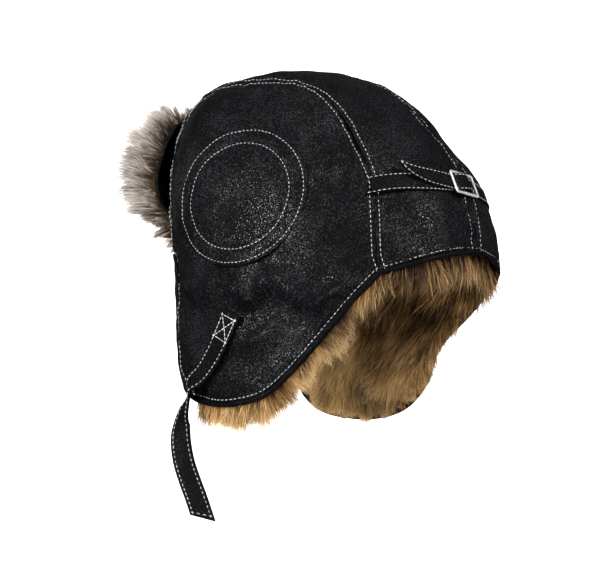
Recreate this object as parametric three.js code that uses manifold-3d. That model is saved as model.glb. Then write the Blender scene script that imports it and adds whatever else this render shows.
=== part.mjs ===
// A trooper hat: a black leather cap with two ear flaps, a turned-up front flap and a fur lining.
// Sizes are in millimetres. +Z is up, the front of the hat faces -Y, the wearer's left is +X.
// The origin is the middle of the head opening at the level of the band, where the hat is widest.

import * as THREE from 'three';
import { mergeVertices } from 'three/addons/utils/BufferGeometryUtils.js';
import Module from 'manifold-3d';

const wasm = await Module();
wasm.setup();

// Driving dimensions of the leather form
const HALF_WIDTH = 90; // ear to ear
const HALF_LENGTH = 98.5; // brow to nape
const CROWN_HEIGHT = 137.5; // band to top
const CROWN_LEAN = 34.5; // how far the top lies in front of the band's middle
const LEAN_POWER = 1.67;
const PLAN_POWER = 2.45; // 2 would be an ellipse
const PROFILE_POWER = 2.75;
const REAR_NARROWING = 0.105; // the plan is an egg, wider over the temples
const TUCK_DEPTH = 80; // the flaps and the nape curve in towards this depth below the band
const SIDE_TUCK = 0.08;
const NAPE_TUCK = 0.15;
const BROW_TUCK = 0.03;
const NAPE_TUCK_POWER = 1.3;

// Driving dimensions of the layers
const LEATHER = 1.6;
const SEAM_GAP = 0.3; // clear between two panels that are sewn together
const LAYER_GAP = 0.7; // clear between a layer and the curved wall under it
const PILE = 6.5; // the fur's dense part, with its backing
const STRAP_WALL = 1.2;

// Named points that the panels share
const HEART = new THREE.Vector3(0, -8, 20); // every panel is seen whole from here
const UPRIGHT = new THREE.Vector3(0, 0, 1);
const DISC = { along: -19, up: 47, halfLength: 46, halfHeight: 43 };
const LINING_SEAM = -14; // level where the flap lining meets the cap lining
const STEP = 0.5; // step for slopes of the form

// The arched seam between crown and side, left side, from the nape over the ear to the brow
const ARCH = [
  { across: 69, along: 66, up: -1 },
  { across: 69, along: 65, up: 12 },
  { across: 67, along: 63, up: 36 },
  { across: 64.5, along: 60, up: 54 },
  { across: 63, along: 50, up: 75 },
  { across: 58.5, along: 32, up: 100 },
  { across: 54, along: 8, up: 118 },
  { across: 52.5, along: -20, up: 123 },
  { across: 51.5, along: -48, up: 126 },
  { across: 54, along: -68, up: 118 },
  { across: 58, along: -81, up: 98 },
  { across: 62, along: -87, up: 66 },
  { across: 64, along: -87, up: 40 },
  { across: 65, along: -85, up: 20 },
];

// The lower edge, left side: brow, ear flap and nape
const BROW_HEM = [
  { across: 0, along: -98, up: 26 },
  { across: 26, along: -97, up: 25 },
  { across: 48, along: -92, up: 23 },
  { across: 65, along: -85, up: 20 },
];
const FLAP_HEM = [
  { across: 65, along: -85, up: 20 },
  { across: 71.5, along: -78, up: 13 },
  { across: 73, along: -75.5, up: -4 },
  { across: 72, along: -74.5, up: -30 },
  { across: 71.5, along: -73, up: -52 },
  { across: 75, along: -64.5, up: -66 },
  { across: 82, along: -46, up: -74 },
  { across: 85, along: -22, up: -75.5 },
  { across: 85, along: -3, up: -71 },
  { across: 84, along: 15, up: -57 },
  { across: 81, along: 38, up: -34 },
  { across: 76, along: 53, up: -16 },
  { across: 69, along: 66, up: -1 },
];
const NAPE_HEM = [
  { across: 69, along: 66, up: -1 },
  { across: 60, along: 77, up: 3 },
  { across: 46, along: 87, up: 8.5 },
  { across: 26, along: 95, up: 13.5 },
  { across: 0, along: 98, up: 16.5 },
];

// The middle seam wanders a little to the side on its way down the back
const SEAM_SWAY = [
  { up: 16, across: 5.5 },
  { up: 32, across: 2.4 },
  { up: 44, across: 0.8 },
  { up: 58, across: -3 },
  { up: 70, across: -6 },
  { up: 84, across: -5 },
  { up: 104, across: -1 },
  { up: 138, across: 0 },
];

// Soft folds of the leather, as low mounds and dents seen from the side
// side 1 is the left, -1 the right, 0 both; turn is from level, rising towards the nape
const FOLDS = [
  { side: 1, along: -40, up: -7, halfLength: 24, halfBreadth: 8, turn: -12, height: 2 },
  { side: 1, along: -46, up: -24, halfLength: 20, halfBreadth: 8, turn: -4, height: -2 },
  { side: 1, along: 12, up: -12, halfLength: 24, halfBreadth: 8, turn: -34, height: 2.4 },
  { side: 1, along: -6, up: -22, halfLength: 18, halfBreadth: 8, turn: 10, height: -2.2 },
  { side: -1, along: -34, up: -10, halfLength: 26, halfBreadth: 8, turn: 10, height: 2.2 },
  { side: -1, along: -20, up: -26, halfLength: 24, halfBreadth: 8, turn: -8, height: -2 },
  { side: -1, along: 18, up: -14, halfLength: 22, halfBreadth: 8, turn: -30, height: 2 },
  { side: -1, along: 40, up: -38, halfLength: 34, halfBreadth: 26, turn: -50, height: -14 },
  { side: 0, along: 46, up: 20, halfLength: 24, halfBreadth: 9, turn: 64, height: -1.6 },
  { side: 0, along: 62, up: 91, halfLength: 24, halfBreadth: 16, turn: -50, height: -3.2 },
  { side: 0, along: 90, up: 33, halfLength: 18, halfBreadth: 14, turn: 90, height: 1.9 },
];

const MATERIALS = {
  leather: { color: '#1b1c20', roughness: 0.42, metalness: 0 },
  liningFur: { color: '#a88550', roughness: 0.95, metalness: 0 },
  flapFur: { color: '#b5a898', roughness: 0.95, metalness: 0 },
  nickel: { color: '#b9b9b4', roughness: 0.3, metalness: 1 },
};

const hat = new THREE.Group();
hat.name = 'trooper_hat';

function place(name, geometry, finish) {
  const mesh = new THREE.Mesh(geometry, new THREE.MeshStandardMaterial(MATERIALS[finish]));
  mesh.name = name;
  hat.add(mesh);
}

// The form

function section(up) {
  const low = Math.max(-up / TUCK_DEPTH, 0);
  return {
    half: HALF_WIDTH * (1 - SIDE_TUCK * low ** 2),
    nape: HALF_LENGTH * (1 - NAPE_TUCK * low ** NAPE_TUCK_POWER),
    brow: HALF_LENGTH * (1 - BROW_TUCK * low ** 2),
    middle: -CROWN_LEAN * Math.max(Math.min(up / CROWN_HEIGHT, 1), 0) ** LEAN_POWER,
  };
}

// Below 1 inside the form, 1 on the leather's outer face, above 1 outside
function reachOf(point) {
  const { half, nape, brow, middle } = section(point.z);
  const away = point.y - middle;
  const lengthwise = away > 0 ? away / nape : away / brow;
  const egg = 1 - REAR_NARROWING * Math.max(-1, Math.min(1, lengthwise));
  const crosswise = Math.abs(point.x) / (half * egg);
  const plan = (crosswise ** PLAN_POWER + Math.abs(lengthwise) ** PLAN_POWER) ** (1 / PLAN_POWER);
  const rise = Math.max(point.z / CROWN_HEIGHT, 0);
  return (plan ** PROFILE_POWER + rise ** PROFILE_POWER) ** (1 / PROFILE_POWER);
}

function outwards(point) {
  const slope = (x, y, z) =>
    reachOf(point.clone().add(new THREE.Vector3(x, y, z))) -
    reachOf(point.clone().sub(new THREE.Vector3(x, y, z)));
  return new THREE.Vector3(slope(STEP, 0, 0), slope(0, STEP, 0), slope(0, 0, STEP)).normalize();
}

// The point at which a line from inside the form meets its outer face
const HALVINGS = 32;

function faceFrom(start, away) {
  let near = 0;
  let far = 3 * HALF_LENGTH;
  for (let pass = 0; pass < HALVINGS; pass += 1) {
    const middle = (near + far) / 2;
    if (reachOf(start.clone().addScaledVector(away, middle)) < 1) near = middle;
    else far = middle;
  }
  return start.clone().addScaledVector(away, near);
}

// The point of the form that is seen from its heart through the given point
const onForm = (point) => faceFrom(HEART, point.clone().sub(HEART).normalize());

// The points of the left flank, of the nape and of the whole wall at given places
const flankPoint = (along, up) => faceFrom(new THREE.Vector3(0, along, up), new THREE.Vector3(1, 0, 0));
const napePoint = (across, up) => faceFrom(new THREE.Vector3(across, 0, up), new THREE.Vector3(0, 1, 0));

function wallPoint(turn, up) {
  const away = new THREE.Vector3(Math.sin(turn), -Math.cos(turn), 0);
  return faceFrom(new THREE.Vector3(HEART.x, HEART.y, up), away);
}

// How much of each fold reaches a point; spread widens the folds
function foldHeights(point, spread) {
  return FOLDS.filter((fold) => fold.side === 0 || fold.side === Math.sign(point.x)).map((fold) => {
    const turn = THREE.MathUtils.degToRad(fold.turn);
    const along = point.y - fold.along;
    const up = point.z - fold.up;
    const far = (along * Math.cos(turn) + up * Math.sin(turn)) / (fold.halfLength * spread);
    const wide = (up * Math.cos(turn) - along * Math.sin(turn)) / (fold.halfBreadth * spread);
    return fold.height * Math.exp(-far * far - wide * wide);
  });
}

const total = (numbers) => numbers.reduce((sum, number) => sum + number, 0);
const relief = (point) => total(foldHeights(point, 1));

// The lining keeps in from the folds, mounds and dents alike
const LINING_SPREAD = 1.35;
const hollow = (point) => -total(foldHeights(point, LINING_SPREAD).map(Math.abs));

// A point of the form moved out by an offset, with the folds
function skin(point, offset, shape = relief) {
  const base = onForm(point);
  return base.clone().addScaledVector(outwards(base), offset + shape(base));
}

const mirrored = (point) => new THREE.Vector3(-point.x, point.y, point.z);

function curveThrough(rows) {
  const points = rows.map((row) => new THREE.Vector3(row.across, row.along, row.up));
  return new THREE.CatmullRomCurve3(points, false, 'centripetal');
}

const sampled = (rows, steps) => curveThrough(rows).getSpacedPoints(steps).map(onForm);

// A line on the form moved sideways over it, to the right of its way as seen from outside
function shifted(line, distance) {
  return line.map((point, index) => {
    const way = line[Math.min(index + 1, line.length - 1)].clone().sub(line[Math.max(index - 1, 0)]);
    const sideways = way.cross(outwards(point)).normalize();
    return onForm(point.clone().addScaledVector(sideways, distance));
  });
}

// Mesh helpers

function closedMesh(points, faces) {
  const geometry = new THREE.BufferGeometry();
  const numbers = points.flatMap((point) => point.toArray());
  geometry.setAttribute('position', new THREE.Float32BufferAttribute(numbers, 3));
  geometry.setIndex(faces.flat());
  const merged = mergeVertices(geometry, 1e-3);
  const index = merged.index.array;
  const vertex = (corner) => new THREE.Vector3().fromBufferAttribute(merged.attributes.position, corner);
  const kept = [];
  let volume = 0;
  for (let first = 0; first < index.length; first += 3) {
    const [a, b, c] = index.slice(first, first + 3);
    if (a === b || b === c || c === a) continue;
    kept.push([a, b, c]);
    volume += vertex(a).dot(vertex(b).cross(vertex(c)));
  }
  const outward = volume > 0 ? kept : kept.map(([a, b, c]) => [a, c, b]);
  merged.setIndex(outward.flat());
  return merged;
}

// A wall between two grids of points with the same rows and columns
// A ring has its last column on its first
function wallBetween(outer, inner, ring = false) {
  const rows = outer.length;
  const columns = outer[0].length;
  const points = [...outer.flat(), ...inner.flat()];
  const faces = [];
  const at = (layer, row, column) => (layer * rows + row) * columns + column;
  const square = (a, b, c, d) => faces.push([a, b, c], [a, c, d]);
  for (let row = 0; row + 1 < rows; row += 1) {
    for (let column = 0; column + 1 < columns; column += 1) {
      const next = column + 1;
      square(at(0, row, column), at(0, row, next), at(0, row + 1, next), at(0, row + 1, column));
      square(at(1, row, column), at(1, row + 1, column), at(1, row + 1, next), at(1, row, next));
    }
  }
  const top = rows - 1;
  for (let column = 0; column + 1 < columns; column += 1) {
    const next = column + 1;
    square(at(0, 0, column), at(1, 0, column), at(1, 0, next), at(0, 0, next));
    square(at(0, top, column), at(0, top, next), at(1, top, next), at(1, top, column));
  }
  const end = columns - 1;
  for (let row = 0; row + 1 < rows && !ring; row += 1) {
    square(at(0, row, 0), at(0, row + 1, 0), at(1, row + 1, 0), at(1, row, 0));
    square(at(0, row, end), at(1, row, end), at(1, row + 1, end), at(0, row + 1, end));
  }
  return closedMesh(points, faces);
}

// A bar through flat sections, each a loop of points; a ring joins its last section to its first
function barThrough(sections, ring = false) {
  const sides = sections[0].length;
  const faces = [];
  const at = (station, side) => (station % sections.length) * sides + (side % sides);
  const spans = ring ? sections.length : sections.length - 1;
  for (let station = 0; station < spans; station += 1) {
    for (let side = 0; side < sides; side += 1) {
      const [a, b] = [at(station, side), at(station, side + 1)];
      const [c, d] = [at(station + 1, side + 1), at(station + 1, side)];
      faces.push([a, b, c], [a, c, d]);
    }
  }
  for (let side = 1; side + 1 < sides && !ring; side += 1) {
    faces.push([0, side + 1, side]);
    faces.push([at(spans, 0), at(spans, side), at(spans, side + 1)]);
  }
  return closedMesh(sections.flat(), faces);
}

function toSolid(geometry) {
  return new wasm.Manifold(
    new wasm.Mesh({
      numProp: 3,
      vertProperties: new Float32Array(geometry.attributes.position.array),
      triVerts: new Uint32Array(geometry.index.array),
    }),
  );
}

function fromSolid(solid) {
  const mesh = solid.getMesh();
  const geometry = new THREE.BufferGeometry();
  geometry.setAttribute('position', new THREE.BufferAttribute(mesh.vertProperties, 3));
  geometry.setIndex(new THREE.BufferAttribute(mesh.triVerts, 1));
  return geometry;
}

// A grid over the form inside four edge lines that meet at their ends
// south and north run along it, west and east across it
function patch(south, north, west, east) {
  const columns = south.length - 1;
  const rows = west.length - 1;
  const mix = (from, to, share) => from.clone().lerp(to, share);
  return west.map((_, row) =>
    south.map((_, column) => {
      const s = column / columns;
      const t = row / rows;
      const lengthwise = mix(south[column], north[column], t);
      const crosswise = mix(west[row], east[row], s);
      const corners = mix(mix(south[0], south[columns], s), mix(north[0], north[columns], s), t);
      return onForm(lengthwise.add(crosswise).sub(corners));
    }),
  );
}

function straight(from, to, steps) {
  return Array.from({ length: steps + 1 }, (_, index) => from.clone().lerp(to, index / steps));
}

// A grid of the left side, or its mirror image
const onSide = (side, grid) => (side > 0 ? grid : grid.map((row) => row.map(mirrored)));

function raised(grid, offset, shape) {
  return grid.map((row) => row.map((point) => skin(point, offset, shape)));
}

// Leather panels

const SEAM_COLUMNS = 24; // crown and side panel share them along the arch
const CROWN_ROWS = 4;
const SIDE_ROWS = 10;

const archFromBrow = sampled([...ARCH].reverse(), SEAM_COLUMNS);

// The middle line of the crown, from brow to nape over the top, seen from the heart by even turns
function middleLine() {
  const turnOf = (row) => Math.atan2(row.up - HEART.z, row.along - HEART.y);
  const start = turnOf(BROW_HEM[0]);
  const end = turnOf(NAPE_HEM[NAPE_HEM.length - 1]);
  return Array.from({ length: SEAM_COLUMNS + 1 }, (_, index) => {
    const turn = start + ((end - start) * index) / SEAM_COLUMNS;
    return onForm(new THREE.Vector3(0, HEART.y + Math.cos(turn), HEART.z + Math.sin(turn)));
  });
}

function seamSway(point) {
  const after = SEAM_SWAY.findIndex((row) => row.up > point.z);
  if (point.y < 0 || after < 1) return 0;
  const [low, high] = [SEAM_SWAY[after - 1], SEAM_SWAY[after]];
  return low.across + ((high.across - low.across) * (point.z - low.up)) / (high.up - low.up);
}

function crownPanel(side) {
  const south = middleLine().map((point) => onForm(point.setX(SEAM_GAP / 2 + side * seamSway(point))));
  const north = shifted(archFromBrow, -SEAM_GAP / 2);
  const west = sampled(BROW_HEM, CROWN_ROWS);
  const east = sampled([...NAPE_HEM].reverse(), CROWN_ROWS);
  west[0] = south[0];
  west[CROWN_ROWS] = north[0];
  east[0] = south[SEAM_COLUMNS];
  east[CROWN_ROWS] = north[SEAM_COLUMNS];
  const grid = onSide(side, patch(south, north, west, east));
  return wallBetween(raised(grid, 0), raised(grid, -LEATHER));
}

function sidePanel(side) {
  const south = sampled(FLAP_HEM, SEAM_COLUMNS);
  const north = shifted(archFromBrow, SEAM_GAP / 2);
  const west = straight(south[0], north[0], SIDE_ROWS);
  const east = straight(south[SEAM_COLUMNS], north[SEAM_COLUMNS], SIDE_ROWS);
  const grid = onSide(side, patch(south, north, west, east));
  return wallBetween(raised(grid, 0), raised(grid, -LEATHER));
}

// The round ear piece, a flat plate bent over the side panel, thicker in its padded middle
const DISC_SPOKES = 22;
const DISC_RINGS = [
  { share: 0, thick: 2.6 },
  { share: 0.5, thick: 2.6 },
  { share: 0.79, thick: 1.8 },
  { share: 0.88, thick: 2.1 },
  { share: 1, thick: 1.4 },
];

function earDisc(side) {
  const ringOf = (share, offset) =>
    Array.from({ length: DISC_SPOKES + 1 }, (_, spoke) => {
      const turn = (2 * Math.PI * (spoke % DISC_SPOKES)) / DISC_SPOKES;
      const along = DISC.along + Math.cos(turn) * DISC.halfLength * share;
      const up = DISC.up + Math.sin(turn) * DISC.halfHeight * share;
      const base = flankPoint(along, up);
      return skin(side > 0 ? base : mirrored(base), offset);
    });
  const outer = DISC_RINGS.map((ring) => ringOf(ring.share, LAYER_GAP + ring.thick));
  const inner = DISC_RINGS.map((ring) => ringOf(ring.share, LAYER_GAP));
  return wallBetween(outer, inner, true);
}

// The turned-in edge, a soft roll below the rim of leather and lining
const HEM_ROLL = { down: 2.15, in: 0.9, halfDepth: 1.55, halfHeight: 1.5, sides: 5, firstSide: 0.25 };
const HEM_STEPS = { brow: 6, flap: 24, nape: 6 };

function leftRim(steps) {
  const brow = sampled(BROW_HEM, steps.brow);
  const flap = sampled(FLAP_HEM, steps.flap).slice(1);
  const nape = sampled(NAPE_HEM, steps.nape).slice(1);
  return [...brow, ...flap, ...nape];
}

function rolledHem() {
  const left = leftRim(HEM_STEPS);
  const right = left.slice(1, -1).reverse().map(mirrored);
  const rim = [...left, ...right];
  const sections = rim.map((point, index) => {
    const next = rim[(index + 1) % rim.length];
    const last = rim[(index + rim.length - 1) % rim.length];
    const normal = outwards(point);
    const down = next.clone().sub(last).cross(normal).normalize();
    const middle = point
      .clone()
      .addScaledVector(normal, relief(point) - HEM_ROLL.in)
      .addScaledVector(down, HEM_ROLL.down);
    return Array.from({ length: HEM_ROLL.sides }, (_, side) => {
      const turn = (2 * Math.PI * (side + HEM_ROLL.firstSide)) / HEM_ROLL.sides;
      return middle
        .clone()
        .addScaledVector(normal, HEM_ROLL.halfDepth * Math.cos(turn))
        .addScaledVector(down, HEM_ROLL.halfHeight * Math.sin(turn));
    });
  });
  return barThrough(sections, true);
}

// Front flap, turned up from the brow: half is its half width as seen from the front, off is how
// far its leather stands off the crown, and pile is its fur's share of the full depth
const FLAP_ROWS = [
  { up: 27, half: 34, middleOff: 0.45, sideOff: 0.45, pile: 0.15 },
  { up: 38, half: 36.5, middleOff: 3, sideOff: 3, pile: 0.27 },
  { up: 50, half: 40, middleOff: 5, sideOff: 5, pile: 0.5 },
  { up: 60, half: 49, middleOff: 6.5, sideOff: 8.5, pile: 0.85 },
  { up: 73, half: 53, middleOff: 7.5, sideOff: 10, pile: 1 },
  { up: 88, half: 50, middleOff: 8, sideOff: 7.5, pile: 0.9 },
  { up: 102, half: 46, middleOff: 7.5, sideOff: 6, pile: 0.7 },
  { up: 113, half: 38, middleOff: 7, sideOff: 5, pile: 0.4 },
];
const FLAP_COLUMNS = 12;
const BROW_REACH = -100; // the front flap is seen from the heart at this place along
const EDGE_CURL = 2.5; // the higher, the nearer to its edge the flap leaves the middle's offset

function frontFlapPoint(row, across, offset) {
  const base = onForm(new THREE.Vector3(across * row.half, BROW_REACH, row.up));
  const off = row.middleOff + (row.sideOff - row.middleOff) * Math.abs(across) ** EDGE_CURL;
  return base.clone().addScaledVector(outwards(base), off + offset);
}

// offsetOf gives the offset from the flap's inner face
function frontFlapGrid(offsetOf) {
  return FLAP_ROWS.map((row) =>
    Array.from({ length: FLAP_COLUMNS + 1 }, (_, column) => {
      const across = (2 * column) / FLAP_COLUMNS - 1;
      return frontFlapPoint(row, across, offsetOf(row, across));
    }),
  );
}

const frontFlap = () => wallBetween(frontFlapGrid(() => LEATHER), frontFlapGrid(() => 0));

// Fur, as a dense pile with pointed locks fused to it

// A lock is a four-sided point; its foot lies square to its stance
function lock(root, way, wide, size, stance = way) {
  const thin = wide.clone().cross(stance).normalize();
  const corner = (a, b) =>
    root.clone().addScaledVector(wide, (a * size.width) / 2).addScaledVector(thin, (b * size.depth) / 2);
  const foot = [corner(1, 1), corner(-1, 1), corner(-1, -1), corner(1, -1)];
  const tip = root.clone().addScaledVector(way, size.length);
  const faces = [[0, 1, 2], [0, 2, 3], [0, 4, 1], [1, 4, 2], [2, 4, 3], [3, 4, 0]];
  return toSolid(closedMesh([...foot, tip], faces));
}

const fused = (backing, locks) => fromSolid(wasm.Manifold.union([toSolid(backing), ...locks]));

// A repeatable number between -1 and 1 for a lock's place in its field
const scatter = (row, column) => Math.sin(row * 12.9898 + column * 78.233);

// The front flap's pile is deepest in the middle, and its locks fan out from a parting
const FLAP_FUR = {
  depth: 16,
  edgeShare: 0.5, // share of the depth that is left at the side edges
  parting: 56, // level at which the locks point neither up nor down
  fanSpan: 50, // this far from the parting's middle a lock leans by half a right angle
  rootShare: 0.8, // how deep in the pile a lock starts
  columns: 6,
  lockHeight: 13,
  acrossScatter: 0.2,
  upScatter: 0.03,
  lengthScatter: 0.15,
};
const FRONT_LOCK_ROWS = [
  { share: 0.27, length: 6 },
  { share: 0.46, length: 17 },
  { share: 0.68, length: 21 },
  { share: 0.92, length: 13 },
];

function pileDepth(row, across) {
  const level = 1 - (1 - FLAP_FUR.edgeShare) * Math.abs(across) ** EDGE_CURL;
  return FLAP_FUR.depth * row.pile * level;
}

// The values between two rows of a table
function rowBetween(rows, place) {
  const low = rows[Math.floor(place)];
  const high = rows[Math.ceil(place)];
  const mixed = Object.keys(low).map((name) => [name, low[name] + (high[name] - low[name]) * (place % 1)]);
  return Object.fromEntries(mixed);
}

function frontFlapFur() {
  const clear = LEATHER + SEAM_GAP;
  const face = (row, across) => clear + pileDepth(row, across);
  const backing = wallBetween(frontFlapGrid(face), frontFlapGrid(() => clear));
  const locks = FRONT_LOCK_ROWS.flatMap(({ share, length }, row) =>
    Array.from({ length: FLAP_FUR.columns }, (_, column) => {
      const middle = column + 0.5 + FLAP_FUR.acrossScatter * scatter(column, row);
      const across = (2 * middle) / FLAP_FUR.columns - 1;
      const level = share + FLAP_FUR.upScatter * scatter(row, column);
      const spot = rowBetween(FLAP_ROWS, level * (FLAP_ROWS.length - 1));
      const root = frontFlapPoint(spot, across, clear + pileDepth(spot, across) * FLAP_FUR.rootShare);
      const normal = outwards(onForm(root));
      const fan = new THREE.Vector3(across * spot.half, 0, spot.up - FLAP_FUR.parting);
      const way = normal.clone().addScaledVector(fan, 1 / FLAP_FUR.fanSpan).normalize();
      const wide = normal.clone().cross(UPRIGHT).normalize();
      const size = {
        width: (2 * spot.half) / FLAP_FUR.columns,
        depth: FLAP_FUR.lockHeight,
        length: length * (1 + FLAP_FUR.lengthScatter * scatter(column, row + 5)),
      };
      return lock(root, way, wide, size, normal);
    }),
  );
  return fused(backing, locks);
}

// Linings, inside the leather
const LINING_CLEAR = 1.2; // clear of the leather, so that neither folds into the other
const LINING_OUT = -(LEATHER + LINING_CLEAR);
const LINING_IN = LINING_OUT - PILE;
const LINING_RISE = 3; // the lining starts this far above the leather's rim
const CAP_COLUMNS = 36;
const CAP_ROWS = 6;
const LOCK = { width: 17, depth: 8, lean: 0.36, sway: 0.18, rootShare: 0.75 };
const TOP = new THREE.Vector3(0, -CROWN_LEAN, CROWN_HEIGHT);
const TOPWARD_POWER = 1.15; // crowds the lining's rows towards its rim

const leftRimFine = leftRim({ brow: 20, flap: 80, nape: 20 });
const rimLine = shifted(leftRimFine, -LINING_RISE);
rimLine[0].setX(0);
rimLine[rimLine.length - 1].setX(0);

// Where the cap lining ends at a turn about the upright axis through the heart, from brow to nape
function capRim(turn) {
  let best = LINING_SEAM;
  for (let index = 0; index + 1 < rimLine.length; index += 1) {
    const [from, to] = [rimLine[index], rimLine[index + 1]];
    const turnOf = (point) => Math.atan2(Math.abs(point.x), -(point.y - HEART.y));
    const [a, b] = [turnOf(from), turnOf(to)];
    if ((a - turn) * (b - turn) > 0 || a === b) continue;
    best = Math.max(best, from.z + ((to.z - from.z) * (turn - a)) / (b - a));
  }
  return best;
}

function capGrid(offset) {
  return Array.from({ length: CAP_ROWS + 1 }, (_, row) =>
    Array.from({ length: CAP_COLUMNS + 1 }, (_, column) => {
      const turn = (2 * Math.PI * (column % CAP_COLUMNS)) / CAP_COLUMNS;
      const folded = turn > Math.PI ? 2 * Math.PI - turn : turn;
      const rim = wallPoint(turn, capRim(folded));
      const share = row / CAP_ROWS;
      if (row === CAP_ROWS) return skin(TOP, offset);
      if (row === 0) return rim.clone().addScaledVector(outwards(rim), offset + hollow(rim));
      return skin(rim.lerp(TOP, share ** TOPWARD_POWER), offset, hollow);
    }),
  );
}

// floor is the level that the tips of a row stay above
function furLocks(rows) {
  const locks = [];
  rows.forEach(({ points, size, downs, floor }, row) => {
    points.forEach((point, index) => {
      const normal = outwards(point);
      const wide = UPRIGHT.clone().cross(normal).normalize();
      const down = downs ? downs[index] : normal.clone().cross(wide).normalize().negate();
      const way = down
        .clone()
        .addScaledVector(normal, -size.lean)
        .addScaledVector(wide, size.sway * scatter(row, index))
        .normalize();
      const deep = LINING_OUT - PILE * size.rootShare + hollow(point);
      const root = point.clone().addScaledVector(normal, deep);
      const wanted = size.length * (1 + size.sway * scatter(index, row + 3));
      const room = floor ? (root.z - floor(point)) / -way.z : wanted;
      locks.push(lock(root, way, wide, { ...size, length: Math.min(wanted, room) }));
    });
  });
  return locks;
}

// Rows of locks in the cap: share runs from the rim to the top
const CAP_LOCK_ROWS = [
  { share: 0.03, count: 22, length: 20 },
  { share: 0.19, count: 13, length: 27 },
  { share: 0.4, count: 7, length: 32 },
];

// The flap linings lie between these places along, below the cap lining
const OVER_FLAPS = { from: -82, to: 58 };
const overFlapLining = (point) => point.y > OVER_FLAPS.from && point.y < OVER_FLAPS.to;

function liningCap() {
  const backing = wallBetween(capGrid(LINING_OUT), capGrid(LINING_IN), true);
  const rows = CAP_LOCK_ROWS.map(({ share, count, length }, row) => ({
    size: { ...LOCK, length },
    floor: (point) => (overFlapLining(point) ? LINING_SEAM + LAYER_GAP : -CROWN_HEIGHT),
    points: Array.from({ length: count }, (_, index) => {
      const turn = (2 * Math.PI * (index + (row % 2) / 2)) / count;
      const folded = turn > Math.PI ? 2 * Math.PI - turn : turn;
      const rimLevel = capRim(folded);
      const lift = rimLevel <= LINING_SEAM + 1 ? Math.max(length / CROWN_HEIGHT, share) : share;
      return onForm(wallPoint(turn, rimLevel).lerp(TOP, lift));
    }),
  }));
  return fused(backing, furLocks(rows));
}

const FLAP_LINING_COLUMNS = 14;
const FLAP_LINING_ROWS = 4;
const RIM_STEP = 0.02; // share of the rim over which its way is taken
const FLAP_LOCK_ROWS = [
  { share: 0.04, count: 11, length: 20, down: 0.35 },
  { share: 0.32, count: 6, length: 26, down: 0.8 },
  { share: 0.62, count: 5, length: 27, down: 1 },
];

function liningFlap(side) {
  const level = LINING_SEAM - SEAM_GAP * 2;
  const below = rimLine.filter((point) => point.z < level);
  const south = new THREE.CatmullRomCurve3(below).getSpacedPoints(FLAP_LINING_COLUMNS).map(onForm);
  const turnOf = (point) => Math.atan2(point.x, -(point.y - HEART.y));
  const start = turnOf(below[0]);
  const end = turnOf(below[below.length - 1]);
  const north = Array.from({ length: FLAP_LINING_COLUMNS + 1 }, (_, column) =>
    wallPoint(start + ((end - start) * column) / FLAP_LINING_COLUMNS, level),
  );
  const west = straight(south[0], north[0], FLAP_LINING_ROWS);
  const east = straight(south[FLAP_LINING_COLUMNS], north[FLAP_LINING_COLUMNS], FLAP_LINING_ROWS);
  const grid = onSide(side, patch(south, north, west, east));
  const backing = wallBetween(raised(grid, LINING_OUT, hollow), raised(grid, LINING_IN, hollow));
  const at = (line, share) => {
    const step = share * (line.length - 1);
    const first = Math.min(Math.floor(step), line.length - 2);
    return line[first].clone().lerp(line[first + 1], step - first);
  };
  const rows = FLAP_LOCK_ROWS.map(({ share, count, length, down }) => {
    const shares = Array.from({ length: count }, (_, index) => (index + 0.5) / count);
    const points = shares.map((s) => onForm(at(south, s).lerp(at(north, s), share)));
    const downs = shares.map((s, index) => {
      const way = at(south, Math.min(s + RIM_STEP, 1)).sub(at(south, Math.max(s - RIM_STEP, 0)));
      const outOfRim = way.cross(outwards(points[index])).normalize();
      return outOfRim.lerp(new THREE.Vector3(0, 0, -1), down).normalize();
    });
    const size = { ...LOCK, length };
    if (side > 0) return { points, downs, size };
    return { points: points.map(mirrored), downs: downs.map(mirrored), size };
  });
  return fused(backing, furLocks(rows));
}

// Straps

// stations give the strap's middle, the way its outer face looks, its width, and its slant,
// which is how much further one edge reaches than the other
function strap(stations, thick) {
  const sections = stations.map(({ point, face, width, slant = 0 }, index) => {
    const next = stations[Math.min(index + 1, stations.length - 1)].point;
    const last = stations[Math.max(index - 1, 0)].point;
    const way = next.clone().sub(last).normalize();
    const flat = face.clone().addScaledVector(way, -face.dot(way)).normalize();
    const side = way.clone().cross(flat);
    const corner = (a, b) =>
      point
        .clone()
        .addScaledVector(side, (a * width) / 2)
        .addScaledVector(way, (a * slant) / 2)
        .addScaledVector(flat, (b * thick) / 2);
    return [corner(-1, -1), corner(1, -1), corner(1, 1), corner(-1, 1)];
  });
  return barThrough(sections);
}

function turnedAbout(vector, axis, degrees) {
  return vector.clone().applyAxisAngle(axis, THREE.MathUtils.degToRad(degrees));
}

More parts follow.
